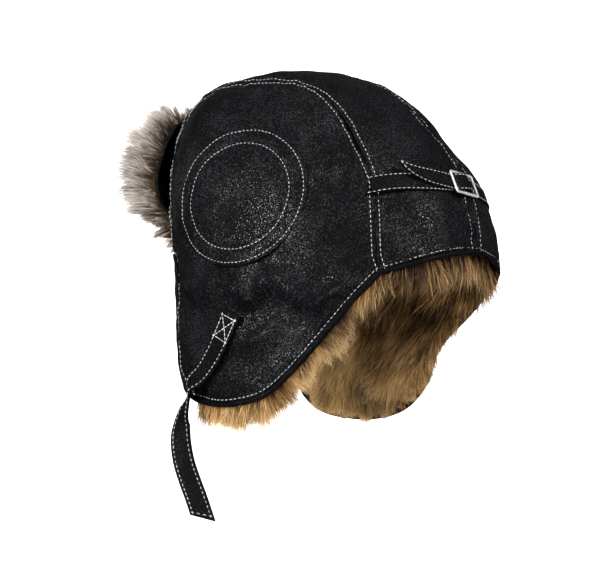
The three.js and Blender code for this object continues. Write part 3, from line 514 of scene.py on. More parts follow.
def crackled_leather(name, worn, shine):
    """Black pressed faux leather: a dark base, crackled cells, and glossy worn spots, painted paler as a
    glint.
    """
    made, tree, shader = material_named(name)
    place = add(tree, "ShaderNodeTexCoord").outputs["Object"]
    stray = add(tree, NOISE, Vector=place, Scale=420.0, Detail=3.0).outputs["Color"]
    bent = add(tree, VECTORS, {"operation": "MULTIPLY_ADD"}, stray, (WANDER * MM,) * 3, place)
    cells = add(tree, CELLS, {"feature": "DISTANCE_TO_EDGE"}, Vector=bent, Scale=1 / (GRAIN * MM))
    small = add(tree, CELLS, {"feature": "F1"}, Vector=bent, Scale=1 / (FINE_GRAIN * MM))
    patches = add(tree, NOISE, Vector=place, Scale=38.0, Detail=4.0, Roughness=0.6)
    specks = add(tree, NOISE, Vector=bent, Scale=1 / (SPECK * MM), Detail=2.5, Roughness=0.65)
    crown = add(tree, RANGE, SMOOTH, Value=cells, From_Min=0.0, From_Max=0.22)
    level = add(tree, MATH, {"operation": "MULTIPLY_ADD"}, patches, 0.4, specks)
    high = add(tree, RANGE, SMOOTH, Value=level, From_Min=0.67, From_Max=0.86)
    wear_and_glint = add(tree, MATH, {"operation": "MULTIPLY"}, high, crown)
    # The colour turns paler on the worn spots, a painted glint; the gloss and roughness below are the
    # leather's own.
    colour = add(tree, RAMP, {"stops": [(0.0, "#050507"), (1.0, worn)]}, Fac=wear_and_glint)
    gloss = add(tree, RANGE, Value=wear_and_glint, To_Min=0.08, To_Max=shine)
    dull = add(tree, RANGE, Value=wear_and_glint, To_Min=DULL_ROUGH, To_Max=WORN_ROUGH)
    patchy = add(tree, RANGE, Value=patches, From_Min=0.35, From_Max=0.65, To_Min=-0.06, To_Max=0.1)
    rough = add(tree, MATH, {"operation": "ADD"}, dull, patchy)
    coarse = add(tree, BUMP, Strength=0.55, Distance=GRAIN_DEPTH * MM, Height=crown)
    fine = add(tree, BUMP, Strength=0.35, Distance=FINE_DEPTH * MM, Height=small, Normal=coarse)
    fill(tree, shader, {"Base Color": colour, "Specular IOR Level": gloss, "Roughness": rough,
                        "Normal": fine})
    return made


# Each worn colour is a painted glint on the raised spots: brighter on the panels, faint on the straps.
LEATHER = crackled_leather("crackled black faux leather", worn="#1b1d22", shine=1.0)
STRAP_LEATHER = crackled_leather("fine black strap leather", worn="#0c0d0f", shine=0.3)

# %% [markdown]
# ## The leather panels
# Each panel is a grid stretched between its four edge lines, a Coons patch, pulled onto the form and raised
# by its relief. Rows crowd towards the seams, where the surface turns sharply, and thin out between them.

# %% Panel grids
SIDES = ((1, "left"), (-1, "right"))
LEATHER_WALL = 1.6
SEAM_GAP = 0.3
LONG_STEPS = 190
CROWN_STEPS = 34
SIDE_STEPS = 62
CROWDING = 0.55  # 0 is even rows, 1 is rows by a cosine


def crowded(count):
    """Shares from 0 to 1, closer together at both ends."""
    even = np.linspace(0, 1, count + 1)
    return even + CROWDING * ((1 - np.cos(np.pi * even)) / 2 - even)


def patch(south, north, west, east, shares):
    """A grid over the form inside four edge lines; shares place its rows from south to north."""
    s = np.linspace(0, 1, len(south))[None, :, None]
    t = shares[:, None, None]
    corners = (south[0] * (1 - s) + south[-1] * s) * (1 - t) + (north[0] * (1 - s) + north[-1] * s) * t
    return on_form(south * (1 - t) + north * t + west[:, None] * (1 - s) + east[:, None] * s - corners)


def straight(start, end, shares):
    """Points at shares of a straight line."""
    return start + (end - start) * shares[:, None]


ARCH_LINE = edge_line(ARCH, LONG_STEPS)
FLAP_LINE = edge_line(FLAP_HEM, LONG_STEPS)
BROW_LINE = edge_line(BROW_HEM, CROWN_STEPS)
NAPE_LINE = edge_line(NAPE_HEM, CROWN_STEPS)
MIDDLE_LINE = middle_line(LONG_STEPS)


def along_table(rows, shares, count=400):
    """Points on the form at shares of a table's line."""
    return on_form(read_at(shares * count, np.arange(count + 1), spaced(spline(rows), count)))


def panel_relief(points, seams, hems, seed):
    """Seams, hem stitch, folds and the unevenness of a soft shell, in millimetres."""
    height = fold_sum(points) + crease_sum(points)
    height = height + 0.55 * ripple(points, 46, seed) + 0.22 * ripple(points, 17, seed + 1)
    for line, stitch_away in seams:
        away = distance_to(points, line)
        near = bell(away, 9)
        height = height + seam_height(away, stitch_away) + 0.3 * near * ripple(points, 8, seed + 2)
    for line in hems:
        away = distance_to(points, line)
        sink = HEM_SINK * bell(away - HEM_STITCH, 1.0)
        height = height - sink + 0.35 * bell(away, 10) * ripple(points, 9, seed + 3)
    return height


def crown_relief(points, side):
    """The height of one half of the crown."""
    arch, brow, nape = [on_side(line, side) for line in (ARCH_LINE, BROW_LINE, NAPE_LINE)]
    seams = [(arch, STITCH_AWAY), (MIDDLE_LINE, middle_stitch_away(points))]
    return panel_relief(points, seams, [brow, nape], 10 + side)


def side_relief(points, side):
    """The height of one side panel."""
    arch, flap = [on_side(line, side) for line in (ARCH_LINE, FLAP_LINE)]
    return panel_relief(points, [(arch, STITCH_AWAY)], [flap], 30 + side)


def raised(points, heights):
    """Points moved out of the form by heights in millimetres."""
    return points + outwards(points) * np.asarray(heights)[..., None]


def panel_wall(grid, relief, side):
    """The wall of a panel on one side of the hat, from its grid on the left."""
    grid = on_side(grid, side)
    return wall_between(raised(grid, relief(grid, side)), raised(grid, fold_sum(grid) - LEATHER_WALL))


def crown_panel(side):
    """One half of the crown, between the middle seam and the arched seam."""
    shares = crowded(CROWN_STEPS)
    south = on_side(middle_line(LONG_STEPS, side * SEAM_GAP / 2), side)
    north = shifted(ARCH_LINE[::-1], -SEAM_GAP / 2)
    west = along_table(BROW_HEM, shares)
    east = along_table(NAPE_HEM[::-1], shares)
    for edge, near, far in ((west, south[0], north[0]), (east, south[-1], north[-1])):
        edge[0], edge[-1] = near, far
    grid = patch(south, north, west, east, shares)
    grid[0] = south
    return panel_wall(grid, crown_relief, side)


def side_panel(side):
    """A side panel from the arched seam down to the ear flap's edge."""
    shares = crowded(SIDE_STEPS)
    south = FLAP_LINE
    north = shifted(ARCH_LINE[::-1], SEAM_GAP / 2)
    west = straight(south[0], north[0], shares)
    east = straight(south[-1], north[-1], shares)
    return panel_wall(patch(south, north, west, east, shares), side_relief, side)


for side, word in SIDES:
    crown = mesh_piece(f"leather_crown_{word}", *crown_panel(side), LEATHER)
    dress(crown, f"crown_panel_{word}")
    flank = mesh_piece(f"leather_side_{word}", *side_panel(side), LEATHER)
    dress(flank, f"side_panel_{word}")

# %% [markdown]
# ## Ear pieces
# A round of leather is laid over each ear, with two rings of stitches. Thread pulls a channel down and the
# padding swells between channels, so a profile from rim to middle, turned round the ear, is the whole shape.

# %% Round ear pieces
DISC = {"along": -19.0, "up": 47.0, "half_long": 46.0, "half_high": 43.0}
DISC_CLEAR = 0.7
DISC_SUNK = 0.3  # its inner face is this much nearer to the leather
DISC_OUTER_STITCH = 0.945
DISC_INNER_STITCH = 0.755
DISC_SPOKES = 120
DISC_PROFILE = [  # share of the way from middle to edge, height of the face above the leather
    (0, 2.7), (0.3, 2.75), (0.55, 2.65), (0.68, 2.4), (0.725, 2.05), (0.755, 1.75), (0.785, 2.0), (0.82, 2.3),
    (0.87, 2.35), (0.91, 2.1), (0.945, 1.75), (0.965, 1.95), (0.985, 1.85), (0.996, 1.4), (1, 0.9),
]


def disc_points(share, turn, side):
    """Places on the form under the ear piece, by share of its radius and turn about its middle."""
    along = DISC["along"] + np.cos(turn) * DISC["half_long"] * share
    up = DISC["up"] + np.sin(turn) * DISC["half_high"] * share
    return flank_point(along, up, side)


def ear_piece(side):
    """The padded round over one ear."""
    shares = np.concatenate([np.linspace(0, 0.68, 9), np.linspace(0.7, 0.93, 11), np.linspace(0.942, 1, 8)])
    turns = np.linspace(0, 2 * np.pi, DISC_SPOKES + 1)[:-1]
    share, turn = np.meshgrid(shares, turns, indexing="ij")
    base = disc_points(share, turn, side)
    face = np.interp(share, *np.array(DISC_PROFILE).T) + 0.16 * ripple(base, 15, 50 + side)
    face = face + 0.12 * bell(share - DISC_OUTER_STITCH, 0.06) * ripple(base, 7, 52)
    folds = fold_sum(base)
    return wall_between(raised(base, face + folds), raised(base, DISC_CLEAR - DISC_SUNK + folds), ring=True)


for side, word in SIDES:
    piece = mesh_piece(f"leather_ear_{word}", *ear_piece(side), LEATHER, sharp=50)
    dress(piece, f"ear_disc_{word}")

# %% [markdown]
# ## The edge
# The shell's edge is turned under and stitched down, which makes a soft round band all the way along. A loop
# of small sections follows the edge, flattened a little and uneven where the thread pulls.

# %% Turned edge
HEM_ROLL = {"down": 1.95, "inward": 0.9, "half_deep": 1.6, "half_high": 1.9, "sides": 12}
HEM_COUNTS = (36, 190, 40)


def whole_rim():
    """The edge all round, from the brow over the left flap and the nape, and back."""
    lines = [edge_line(rows, count) for rows, count in zip((BROW_HEM, FLAP_HEM, NAPE_HEM), HEM_COUNTS)]
    left = np.vstack([lines[0], lines[1][1:], lines[2][1:]])
    return np.vstack([left, on_side(left[1:-1][::-1], -1)])


RIM = whole_rim()
rim_out = outwards(RIM)
rim_way = np.roll(RIM, -1, axis=0) - np.roll(RIM, 1, axis=0)
rim_down = unit(np.cross(rim_way, rim_out))
wave = ripple(RIM, 8, 60)
middle = RIM + rim_out * (fold_sum(RIM) - HEM_ROLL["inward"] + 0.12 * wave)[:, None]
middle = middle + rim_down * HEM_ROLL["down"]
turns = 2 * np.pi * (np.arange(HEM_ROLL["sides"]) + 0.25) / HEM_ROLL["sides"]
fuller = (1 + 0.07 * ripple(RIM, 12, 61))[:, None, None]
sections = middle[:, None] + fuller * (
    rim_out[:, None] * (HEM_ROLL["half_deep"] * np.cos(turns))[None, :, None]
    + rim_down[:, None] * (HEM_ROLL["half_high"] * np.sin(turns))[None, :, None]
)
edge = mesh_piece("leather_turned_edge", *bar_through(sections, ring=True), STRAP_LEATHER)
dress(edge, "rolled_hem")
print(f"the edge is {length_of(RIM):.0f} mm round")

# %% [markdown]
# ## The front flap
# It hangs in front of the brow when it is let down. Here it is turned up, so its fur faces forward and its
# leather lies behind, standing off the crown more and more towards its free edge.

# %% Leather of the front flap
FLAP_ROWS = [  # up, half width, distance off the crown at the middle and at the sides, fullness of the fur
    (27, 34, 0.45, 0.45, 0.15), (38, 36.5, 3, 3, 0.27), (50, 40, 5, 5, 0.5), (60, 49, 6.5, 8.5, 0.85),
    (73, 53, 7.5, 10, 1), (88, 50, 8, 7.5, 0.9), (102, 46, 7.5, 6, 0.7), (113, 38, 7, 5, 0.4),
]
BROW_REACH = -100.0
EDGE_CURL = 2.5


def flap_values(share):
    """The table's five values at shares of the way from the flap's fold to its free edge."""
    rows = spline(FLAP_ROWS)
    places = np.linspace(0, 1, len(rows))
    return [np.interp(share, places, rows[:, k]) for k in range(5)]


def flap_point(share, across, offset):
    """A place on the front flap: share from its fold to its free edge, across from -1 to 1."""
    up, half, mid, edge, _ = flap_values(share)
    base = on_form(np.stack([across * half, np.full_like(up, BROW_REACH), up], axis=-1))
    off = mid + (edge - mid) * np.abs(across) ** EDGE_CURL
    return base + outwards(base) * (off + offset)[..., None]


share, across = np.meshgrid(np.linspace(0, 1, 31), np.linspace(-1, 1, 61), indexing="ij")
limp = 0.5 * share * ripple(flap_point(share, across, 0 * share), 28, 70)
back = flap_point(share, across, limp * 0.6)
front = flap_point(share, across, LEATHER_WALL + limp * 0.6)
dress(mesh_piece("leather_front_flap", *wall_between(front, back), LEATHER), "front_flap")

# %% [markdown]
# ## Straps
# Each strap is a folded strip, stitched near both edges. Its route is a table of places on or off the
# leather, and a rounded section follows it. The chin strap twists where it leaves the flap and then hangs.

# %% Straps
STRAP_SIDES = [(-0.5, -0.2), (-0.485, -0.5), (-0.4, -0.5), (0.4, -0.5), (0.485, -0.5), (0.5, -0.2),
               (0.5, 0.2), (0.485, 0.42), (0.42, 0.5), (0.36, 0.4), (0.28, 0.5), (0, 0.56),
               (-0.28, 0.5), (-0.36, 0.4), (-0.42, 0.5), (-0.485, 0.42), (-0.5, 0.2)]


def strap_frame(points, faces):
    """The way along a strap, its side and its true face, at every station."""
    way = unit(np.gradient(points, axis=0))
    face = unit(faces - way * (faces * way).sum(axis=1, keepdims=True))
    return way, np.cross(way, face), face


def strap(points, faces, widths, slants, thick):
    """A strap with rounded, stitched-down edges; a slant is how much further one edge reaches."""
    way, side, face = strap_frame(points, faces)
    profile = np.array(STRAP_SIDES)
    across = side[:, None] * profile[:, 0][None, :, None] * widths[:, None, None]
    along = way[:, None] * profile[:, 0][None, :, None] * slants[:, None, None]
    deep = face[:, None] * (profile[:, 1] * thick)[None, :, None]
    return bar_through(points[:, None] + across + along + deep)


def turned_about_up(vectors, degrees):
    """Vectors turned about the upright."""
    c, s = np.cos(np.radians(degrees)), np.sin(np.radians(degrees))
    x, y, z = vectors[..., 0], vectors[..., 1], vectors[..., 2]
    return np.stack([c * x - s * y, s * x + c * y, z], axis=-1)


CHIN_WIDTH = 13.5
CHIN_WALL = 1.6
CHIN_ON_FLAP = [  # along, up, lift of the strap's middle above the leather, turn of its face to the front
    (-22, -23, 1.5, 0), (-25, -29, 1.5, 0), (-29.5, -38, 1.6, 0), (-36, -48, 1.9, -4), (-45, -58, 3, -14),
    (-52.5, -64.5, 6.4, -36),
]
CHIN_FREE = [  # across, along, up, turn
    (83.4, -57.6, -72, -58), (82.4, -61, -79, -42), (80, -64.5, -86, -16), (80, -65.8, -94, 4),
    (80, -65.3, -102, 14), (80, -63, -112, 20), (80, -59, -122, 24), (80, -54, -133, 26), (80, -49, -145, 26),
]
CHIN_END_SLANT = -9.5  # the rear edge of its cut end reaches further
CHIN_END_SPAN = 14.0
STRAP_WALL = 1.2
BACK_WIDTH = 11.2
USUAL = (BACK_WIDTH, 0.0)  # width and slant of a row that doesn't say its own
BACK_LEFT = [  # across, up, lift, and in some rows width and slant
    (67, 49.4, 1.2, BACK_WIDTH, -4.5), (61, 51.2, 1.2), (52, 52.6, 1.2), (43, 53.1, 1.2), (34, 53.6, 1.2),
    (27, 54.1, 1), (20, 54.6, 0.95), (13.4, 55, 0.95), (7, 55.2, 0.95), (4.9, 55.2, 1.6), (4.9, 55.2, 3.3),
    (7, 55.2, 4), (8.6, 55.2, 3.7),
]
BACK_RIGHT = [
    (-66, 49.6, 1.2), (-58, 51.8, 1.2), (-43, 53.1, 1.2), (-28, 53.9, 1.2), (-15, 54.6, 1.2), (-8, 55, 1.5),
    (-3.4, 55.2, 2.2), (0.8, 55.2, 3.9), (4.2, 55.2, 5.3), (6.8, 55.2, 5.6), (10.2, 55.2, 5.2),
    (13.8, 55.2, 3.9), (17.2, 55.2, 2.6), (21.5, 55.2, 2.5), (28, 55.5, 2.7), (35, 56.1, 3, 10.8),
    (41, 57, 3.6, 9.4), (46, 58.5, 4.6, 7.2), (49.6, 60.6, 5.6, 4.4), (51.8, 62.8, 6.6, 1.6),
]
RIGHT_TAB = [  # along, up, lift
    (-22, -23, 1.2), (-25, -29, 1.2), (-28, -35, 1), (-30.4, -39.8, 1), (-31.4, -41.6, 1.7),
    (-31.4, -41.6, 3.4), (-30.4, -39.8, 4.1), (-29.6, -38.2, 3.8),
]


def values_between(rows, steps):
    """Values between rows at the same even shares as a spline's points."""
    places = np.linspace(0, len(rows) - 1, (len(rows) - 1) * steps + 1)
    return read_at(places, np.arange(len(rows)), rows)


def chin_route(steps):
    """Points, faces, widths and slants of the chin strap."""
    low = np.array(CHIN_ON_FLAP, float)
    base = flank_point(low[:, 0], low[:, 1])
    out = outwards(base)
    on_flap = base + out * (low[:, 2] + fold_sum(base))[:, None]
    free = np.array(CHIN_FREE, float)
    points = np.vstack([on_flap, free[:, :3]])
    out = np.vstack([out, np.broadcast_to([1.0, 0, 0], (len(free), 3))])
    values = np.column_stack([out, np.concatenate([low[:, 3], free[:, 3]])])
    line = spaced(np.column_stack([spline(points, 20), values_between(values, 20)]), steps)
    faces = turned_about_up(unit(line[:, 3:6]), line[:, 6])
    left = np.linspace(length_of(line[:, :3]), 0, steps + 1)
    slants = CHIN_END_SLANT * np.clip(1 - left / CHIN_END_SPAN, 0, 1)
    return line[:, :3], faces, np.full(steps + 1, CHIN_WIDTH), slants


def surface_route(rows, at):
    """Points, faces, widths and slants of a strap on the leather; at gives the form's point for a row."""
    rows = np.array([(*row, *USUAL[len(row) - 3 :]) for row in rows], float)
    base = at(rows[:, 0], rows[:, 1])
    out = outwards(base)
    points = base + out * (rows[:, 2] + fold_sum(base))[:, None]
    line = np.column_stack([spline(points, 10), values_between(np.column_stack([out, rows[:, 3:]]), 10)])
    return line[:, :3], unit(line[:, 3:6]), line[:, 6], line[:, 7]


CHIN_ROUTE = chin_route(110)
LEFT_ROUTE = surface_route(BACK_LEFT, nape_point)
RIGHT_ROUTE = surface_route(BACK_RIGHT, nape_point)
TAB_ROUTE = surface_route(RIGHT_TAB, lambda along, up: flank_point(along, up, -1))
for name, route, thick, node in (
    ("chin_strap", CHIN_ROUTE, CHIN_WALL, "chin_strap_left"),
    ("chin_tab", TAB_ROUTE, STRAP_WALL, "chin_tab_right"),
    ("back_strap_left_half", LEFT_ROUTE, STRAP_WALL, "back_strap_left"),
    ("back_strap_right_half", RIGHT_ROUTE, STRAP_WALL, "back_strap_right"),
):
    dress(mesh_piece(name, *strap(*route, thick), STRAP_LEATHER), node)
    print(f"{name}: {length_of(route[0]):.0f} mm long")

# %% [markdown]
# ## The slides
# A slide is bent from flat nickel-plated wire: a frame with soft corners and a bar across its middle. A
# rounded section swept round a rectangle with curved corners gives the frame, and a short rod is the bar.

# %% Nickel slides
SLIDE = {"length": 27.0, "height": 15.2, "rim": 1.6, "thick": 1.2, "corner": 1.5, "bar": 0.6}
BAR_DROP = 0.9  # the bar lies this much deeper than the frame
BACK_SLIDE = (6.6, 55.2, 3.3)  # across, up, lift
RIGHT_SLIDE = (-30.5, -40.0, 3.4)  # along, up, lift


def tumbled_nickel():
    """Nickel plate, dulled by tumbling: grey, metallic, with faint pits."""
    made, tree, shader = material_named("tumbled nickel plate")
    place = add(tree, "ShaderNodeTexCoord").outputs["Object"]
    grit = add(tree, NOISE, Vector=place, Scale=900.0, Detail=4.0)
    worn = add(tree, NOISE, Vector=place, Scale=160.0, Detail=3.0)
    colour = add(tree, RAMP, {"stops": [(0.3, "#b4b4b1"), (0.7, "#e2e2df")]}, Fac=worn)
    rough = add(tree, RANGE, Value=worn, To_Min=0.25, To_Max=0.5)
    pits = add(tree, BUMP, Strength=0.3, Distance=0.05 * MM, Height=grit)
    fill(tree, shader, {"Base Color": colour, "Roughness": rough, "Normal": pits, "Metallic": 0.6})
    return made


NICKEL = tumbled_nickel()


def slide_points():
    """The slide's frame and bar in its own plane, thickness along the third axis."""
    half = np.array([SLIDE["length"] - SLIDE["rim"], SLIDE["height"] - SLIDE["rim"]]) / 2
    corner = SLIDE["corner"] - SLIDE["rim"] / 2
    path = []
    for quarter, hand in enumerate(((1, 1), (-1, 1), (-1, -1), (1, -1))):
        for turn in np.linspace(quarter, quarter + 1, 7) * np.pi / 2:
            path.append(hand * (half - corner) + corner * np.array([np.cos(turn), np.sin(turn)]))
    path = np.array(path)
    way = unit(np.roll(path, -1, axis=0) - np.roll(path, 1, axis=0))
    out = np.stack([way[:, 1], -way[:, 0]], axis=1)
    turns = np.linspace(0, 2 * np.pi, 13)[:-1]
    wide = np.sign(np.cos(turns)) * np.abs(np.cos(turns)) ** 0.6 * SLIDE["rim"] / 2
    deep = np.sign(np.sin(turns)) * np.abs(np.sin(turns)) ** 0.6 * SLIDE["thick"] / 2
    level = path[:, None] + out[:, None] * wide[None, :, None]
    frame_loops = np.concatenate([level, np.broadcast_to(deep[None, :, None], (*level.shape[:2], 1))], axis=2)
    rises = np.linspace(-half[1], half[1], 9)
    drops = BAR_DROP * (1 - np.abs(rises / half[1]) ** 6)
    bar_loops = np.array([[(SLIDE["bar"] * np.cos(t), rise, SLIDE["bar"] * np.sin(t) - drop) for t in turns]
                          for rise, drop in zip(rises, drops)])
    return [bar_through(frame_loops, ring=True), bar_through(bar_loops)]


def slide(name, middle, out, height):
    """A slide at a place, facing out, with its height along the given way."""
    up = unit(height - out * (height @ out))
    basis = np.stack([np.cross(up, out), up, out])
    points, faces, start = [], [], 0
    for part_points, part_faces in slide_points():
        points.append(part_points @ basis + middle)
        faces += [[i + start for i in face] for face in part_faces]
        start += len(part_points)
    return mesh_piece(name, np.concatenate(points), faces, NICKEL)


def slide_on(name, base, lift, height):
    """A slide at this lift above the leather over a place on the form."""
    out = outwards(base)
    return slide(name, base + out * (lift + fold_sum(base)), out, height)


base = nape_point(*[np.array(place) for place in BACK_SLIDE[:2]])
dress(slide_on("back_slide", base, BACK_SLIDE[2], np.array([0, 0, 1.0])), "back_buckle")
base = flank_point(*[np.array(place) for place in RIGHT_SLIDE[:2]], -1)
tab_start = flank_point(*[np.array(float(place)) for place in RIGHT_TAB[0][:2]], -1)
tab_across = np.cross(tab_start - base, outwards(base))
dress(slide_on("chin_slide", base, RIGHT_SLIDE[2], tab_across), "chin_buckle_right")

# %% [markdown]
# ## Thread
# The seams are sewn with thick off-white polyester thread, waxed to run through leather, and each stitch
# shows as a small pale dash. A wave pattern about as fine as the thread's plies gives it a twist in relief.

# %% The thread
def waxed_thread():
    """Off-white waxed polyester thread: a twist of plies, slightly glossy."""
    made, tree, shader = material_named("off-white waxed thread")
    place = add(tree, "ShaderNodeTexCoord").outputs["Object"]
    soil = add(tree, NOISE, Vector=place, Scale=260.0, Detail=2.0)
    colour = add(tree, RAMP, {"stops": [(0.3, "#85878a"), (0.65, "#b9bbbc")]}, Fac=soil)
    ply = add(tree, "ShaderNodeTexWave", Vector=place, Scale=1100.0, Distortion=2.0).outputs["Fac"]
    twist = add(tree, BUMP, Strength=0.4, Distance=0.1 * MM, Height=ply)
    fill(tree, shader, {"Base Color": colour, "Roughness": 0.55, "Normal": twist})
    return made


THREAD = waxed_thread()

# %% [markdown]
# ## How stitches are laid
# The hat has nearly sixteen hundred stitches. They could be modelled once and copied by an array along a
# curve, but Geometry Nodes do it in one tree for every seam: a path is cut into even steps, and one small
# bean of thread is placed at each, turned to the path and to the leather's face, and a little uneven.

# %% Tree that lays stitches
ATTRIBUTE = "GeometryNodeInputNamedAttribute"
CHANCE = "FunctionNodeRandomValue"
TURN_TO = "FunctionNodeAxesToRotation"
PLACE_ON = "GeometryNodeInstanceOnPoints"
XYZ = "ShaderNodeCombineXYZ"
VECTOR = {"data_type": "FLOAT_VECTOR"}
ADD = {"operation": "ADD"}
TIMES = {"operation": "MULTIPLY"}


def new_group(name, numbers, others):
    """An empty geometry tree with a mesh in, a mesh out, and named inputs."""
    group = bpy.data.node_groups.new(name, "GeometryNodeTree")
    group.interface.new_socket("Mesh", in_out="INPUT", socket_type="NodeSocketGeometry")
    for label, value in numbers.items():
        group.interface.new_socket(label, in_out="INPUT", socket_type="NodeSocketFloat").default_value = value
    for label, kind in others.items():
        group.interface.new_socket(label, in_out="INPUT", socket_type=kind)
    group.interface.new_socket("Mesh", in_out="OUTPUT", socket_type="NodeSocketGeometry")
    return group, group.nodes.new("NodeGroupInput").outputs, group.nodes.new("NodeGroupOutput")


def stitch_tree():
    """Beans of thread along every edge of a mesh, facing the way its points say."""
    group, given, end = new_group("lay stitches", {"Pitch": 0.0027, "Length": 0.0021, "Thickness": 0.0007},
                                  {"Thread": "NodeSocketMaterial", "Seed": "NodeSocketInt"})
    path = add(group, "GeometryNodeMeshToCurve", Mesh=given["Mesh"])
    steps = add(group, "GeometryNodeResampleCurve", {"mode": "LENGTH"}, Curve=path, Length=given["Pitch"])
    jitter = add(group, CHANCE, VECTOR, (-0.07,) * 3, (0.07,) * 3, Seed=given["Seed"])
    way = add(group, VECTORS, ADD, add(group, "GeometryNodeInputTangent"), jitter)
    turn = add(group, TURN_TO, {"primary_axis": "X", "secondary_axis": "Z"}, Primary_Axis=way,
               Secondary_Axis=add(group, ATTRIBUTE, VECTOR, Name="face"))
    bean = add(group, "GeometryNodeMeshUVSphere", Segments=6, Rings=4, Radius=0.5)
    shape = add(group, XYZ, None, given["Length"], given["Thickness"], given["Thickness"])
    spread = add(group, CHANCE, VECTOR, (0.88, 0.9, 0.85), (1.08, 1.1, 1.15), Seed=given["Seed"])
    size = add(group, VECTORS, TIMES, shape, spread)
    laid = add(group, PLACE_ON, Points=steps, Instance=bean, Rotation=turn, Scale=size)
    real = add(group, "GeometryNodeRealizeInstances", Geometry=laid)
    smooth = add(group, "GeometryNodeSetShadeSmooth", Geometry=real)
    last = add(group, "GeometryNodeSetMaterial", Geometry=smooth, Material=given["Thread"])
    group.links.new(last.outputs[0], end.inputs[0])
    return group


STITCHING = stitch_tree()

# %% [markdown]
# ## Running a tree
# A tree works as a modifier on a mesh whose points carry marks, such as the face each looks to. The tree's
# inputs are set by their identifiers, the result is taken as a plain mesh, and the modifier is removed.

# %% Stitches on a run of points
def mark(mesh, name, values):
    """Keeps a number or a vector for each point of a mesh under a name."""
    kind, field = ("FLOAT_VECTOR", "vector") if values.ndim == 2 else ("FLOAT", "value")
    layer = mesh.attributes.new(name, kind, "POINT")
    layer.data.foreach_set(field, values.astype(np.float32).ravel())


def socket_of(group, name):
    """The identifier of a node group's input, by its name."""
    return next(item.identifier for item in group.interface.items_tree
                if item.item_type == "SOCKET" and item.in_out == "INPUT" and item.name == name)


def run_tree(name, mesh, group, values):
    """The plain mesh that a tree makes from a mesh, as an object at the origin."""
    source = bpy.data.objects.new(name, mesh)
    bpy.context.scene.collection.objects.link(source)
    modifier = source.modifiers.new("tree", "NODES")
    modifier.node_group = group
    for label, value in values.items():
        modifier[socket_of(group, label)] = value
    source.update_tag()
    result = bpy.data.meshes.new_from_object(source.evaluated_get(bpy.context.evaluated_depsgraph_get()))
    source.modifiers.remove(modifier)
    source.data = result
    return source


def stitched(name, runs, length=2.2, pitch=3.0, thickness=0.46):
    """One piece of stitches along runs, each a line of points and the faces they look to."""
    edges, start = [], 0
    for line, _ in runs:
        edges += [(start + i, start + i + 1) for i in range(len(line) - 1)]
        start += len(line)
    points, faces = [np.concatenate(parts) for parts in zip(*runs)]
    mesh = bpy.data.meshes.new(name)
    mesh.from_pydata((points * MM).tolist(), edges, [])
    mark(mesh, "face", faces)
    sizes = {"Pitch": pitch * MM, "Length": length * MM, "Thickness": thickness * MM}
    made = run_tree(name, mesh, STITCHING, {**sizes, "Thread": THREAD, "Seed": len(name)})
    total = sum(length_of(line) for line, _ in runs)
    print(f"{name}: {total / pitch:.0f} stitches over {total:.0f} mm")
    return dress(made, None)


# %% [markdown]
# ## Stitches of the shell
# Every seam is sewn down on both sides, so two rows run beside it, one row holds the turned edge, and two
# rings hold each ear piece. A row is the seam's own line moved over the form, and its height comes from the
# same relief as the leather under it, so no stitch sinks in or floats.

# %% Stitches of the shell
THREAD_LIFT = 0.1
SEW_STEPS = 400
FRONT_TURN = -55.0  # in front of here the arched seam's stitches draw nearer to it
ARCH_END = (7, 7, (-1.1, 1.5, 0))  # at the nape: from this level, over this height, drawn aside so far
MIDDLE_END = (21, 5, (-2.6, 0, 0))
STRAP_RISE = 1.8


def on_panel(line, relief):
    """A run of stitches on the shell at a relief height."""
    return raised(line, relief + THREAD_LIFT), outwards(line)


def drawn_aside(line, level, span, shift):
    """The run with its last few millimetres at the nape drawn aside, where the edge is turned in."""
    share = np.clip((level - line[:, 2]) / span, 0, 1) * (line[:, 1] > 0)
    return on_form(line + share[:, None] * np.array(shift))


def over_straps(line):
    """How much higher a run lies where it crosses the sewn ends of the back strap."""
    ends = [distance_to(line, route[0][:25]) for route in (LEFT_ROUTE, RIGHT_ROUTE)]
    return STRAP_RISE * np.clip(BACK_WIDTH / 2 + 0.6 - np.minimum(*ends), 0, 1)


seam_runs = []
hem_runs = []
disc_runs = []
arch = edge_line(ARCH, SEW_STEPS)
near = 1 - 0.5 * np.clip((FRONT_TURN - arch[:, 1:2]) / 20, 0, 1)
middle_away = middle_stitch_away(middle_line(SEW_STEPS))
ring = np.linspace(0, 2 * np.pi, 241)
for side, _ in SIDES:
    for away, relief in ((STITCH_AWAY, side_relief), (-STITCH_AWAY, crown_relief)):
        line = on_side(drawn_aside(shifted(arch, -away * near), *ARCH_END), side)
        seam_runs.append(on_panel(line, relief(line, side) + over_straps(line)))
    line = drawn_aside(middle_line(SEW_STEPS, side * middle_away), *MIDDLE_END)
    seam_runs.append(on_panel(line, crown_relief(line, side)))
    for rows, relief in ((BROW_HEM, crown_relief), (FLAP_HEM, side_relief), (NAPE_HEM, crown_relief)):
        line = on_side(shifted(edge_line(rows, SEW_STEPS // 2), -HEM_STITCH), side)
        hem_runs.append(on_panel(line, relief(line, side)))
    for share in (DISC_OUTER_STITCH, DISC_INNER_STITCH):
        line = disc_points(np.full_like(ring, share), ring, side)
        height = np.interp(share, *np.array(DISC_PROFILE).T)
        disc_runs.append(on_panel(line, fold_sum(line) + height + 0.16 * ripple(line, 15, 50 + side)))
stitched("stitches_seams", seam_runs)
stitched("stitches_edge", hem_runs)
stitched("stitches_ear_pieces", disc_runs, length=2.0, pitch=2.7)

# %% [markdown]
# ## Stitches of the straps
# A strap is a folded strip that is stitched along both edges, and the chin strap's top is sewn to the flap by
# a box with a cross in it. Its stitches are placed by how far along the strap and how far from its middle
# they lie, so they follow every bend and twist of its face.

# %% Stitches of the straps
BOX = {"start": 3.5, "end": 17.6, "half": 4.9}  # the crossed box of stitches at the chin strap's top
CHIN_INSET = 1.9
BACK_INSET = 0.95
CUT_END = 2.5  # the chin strap's last row is this far from its cut end


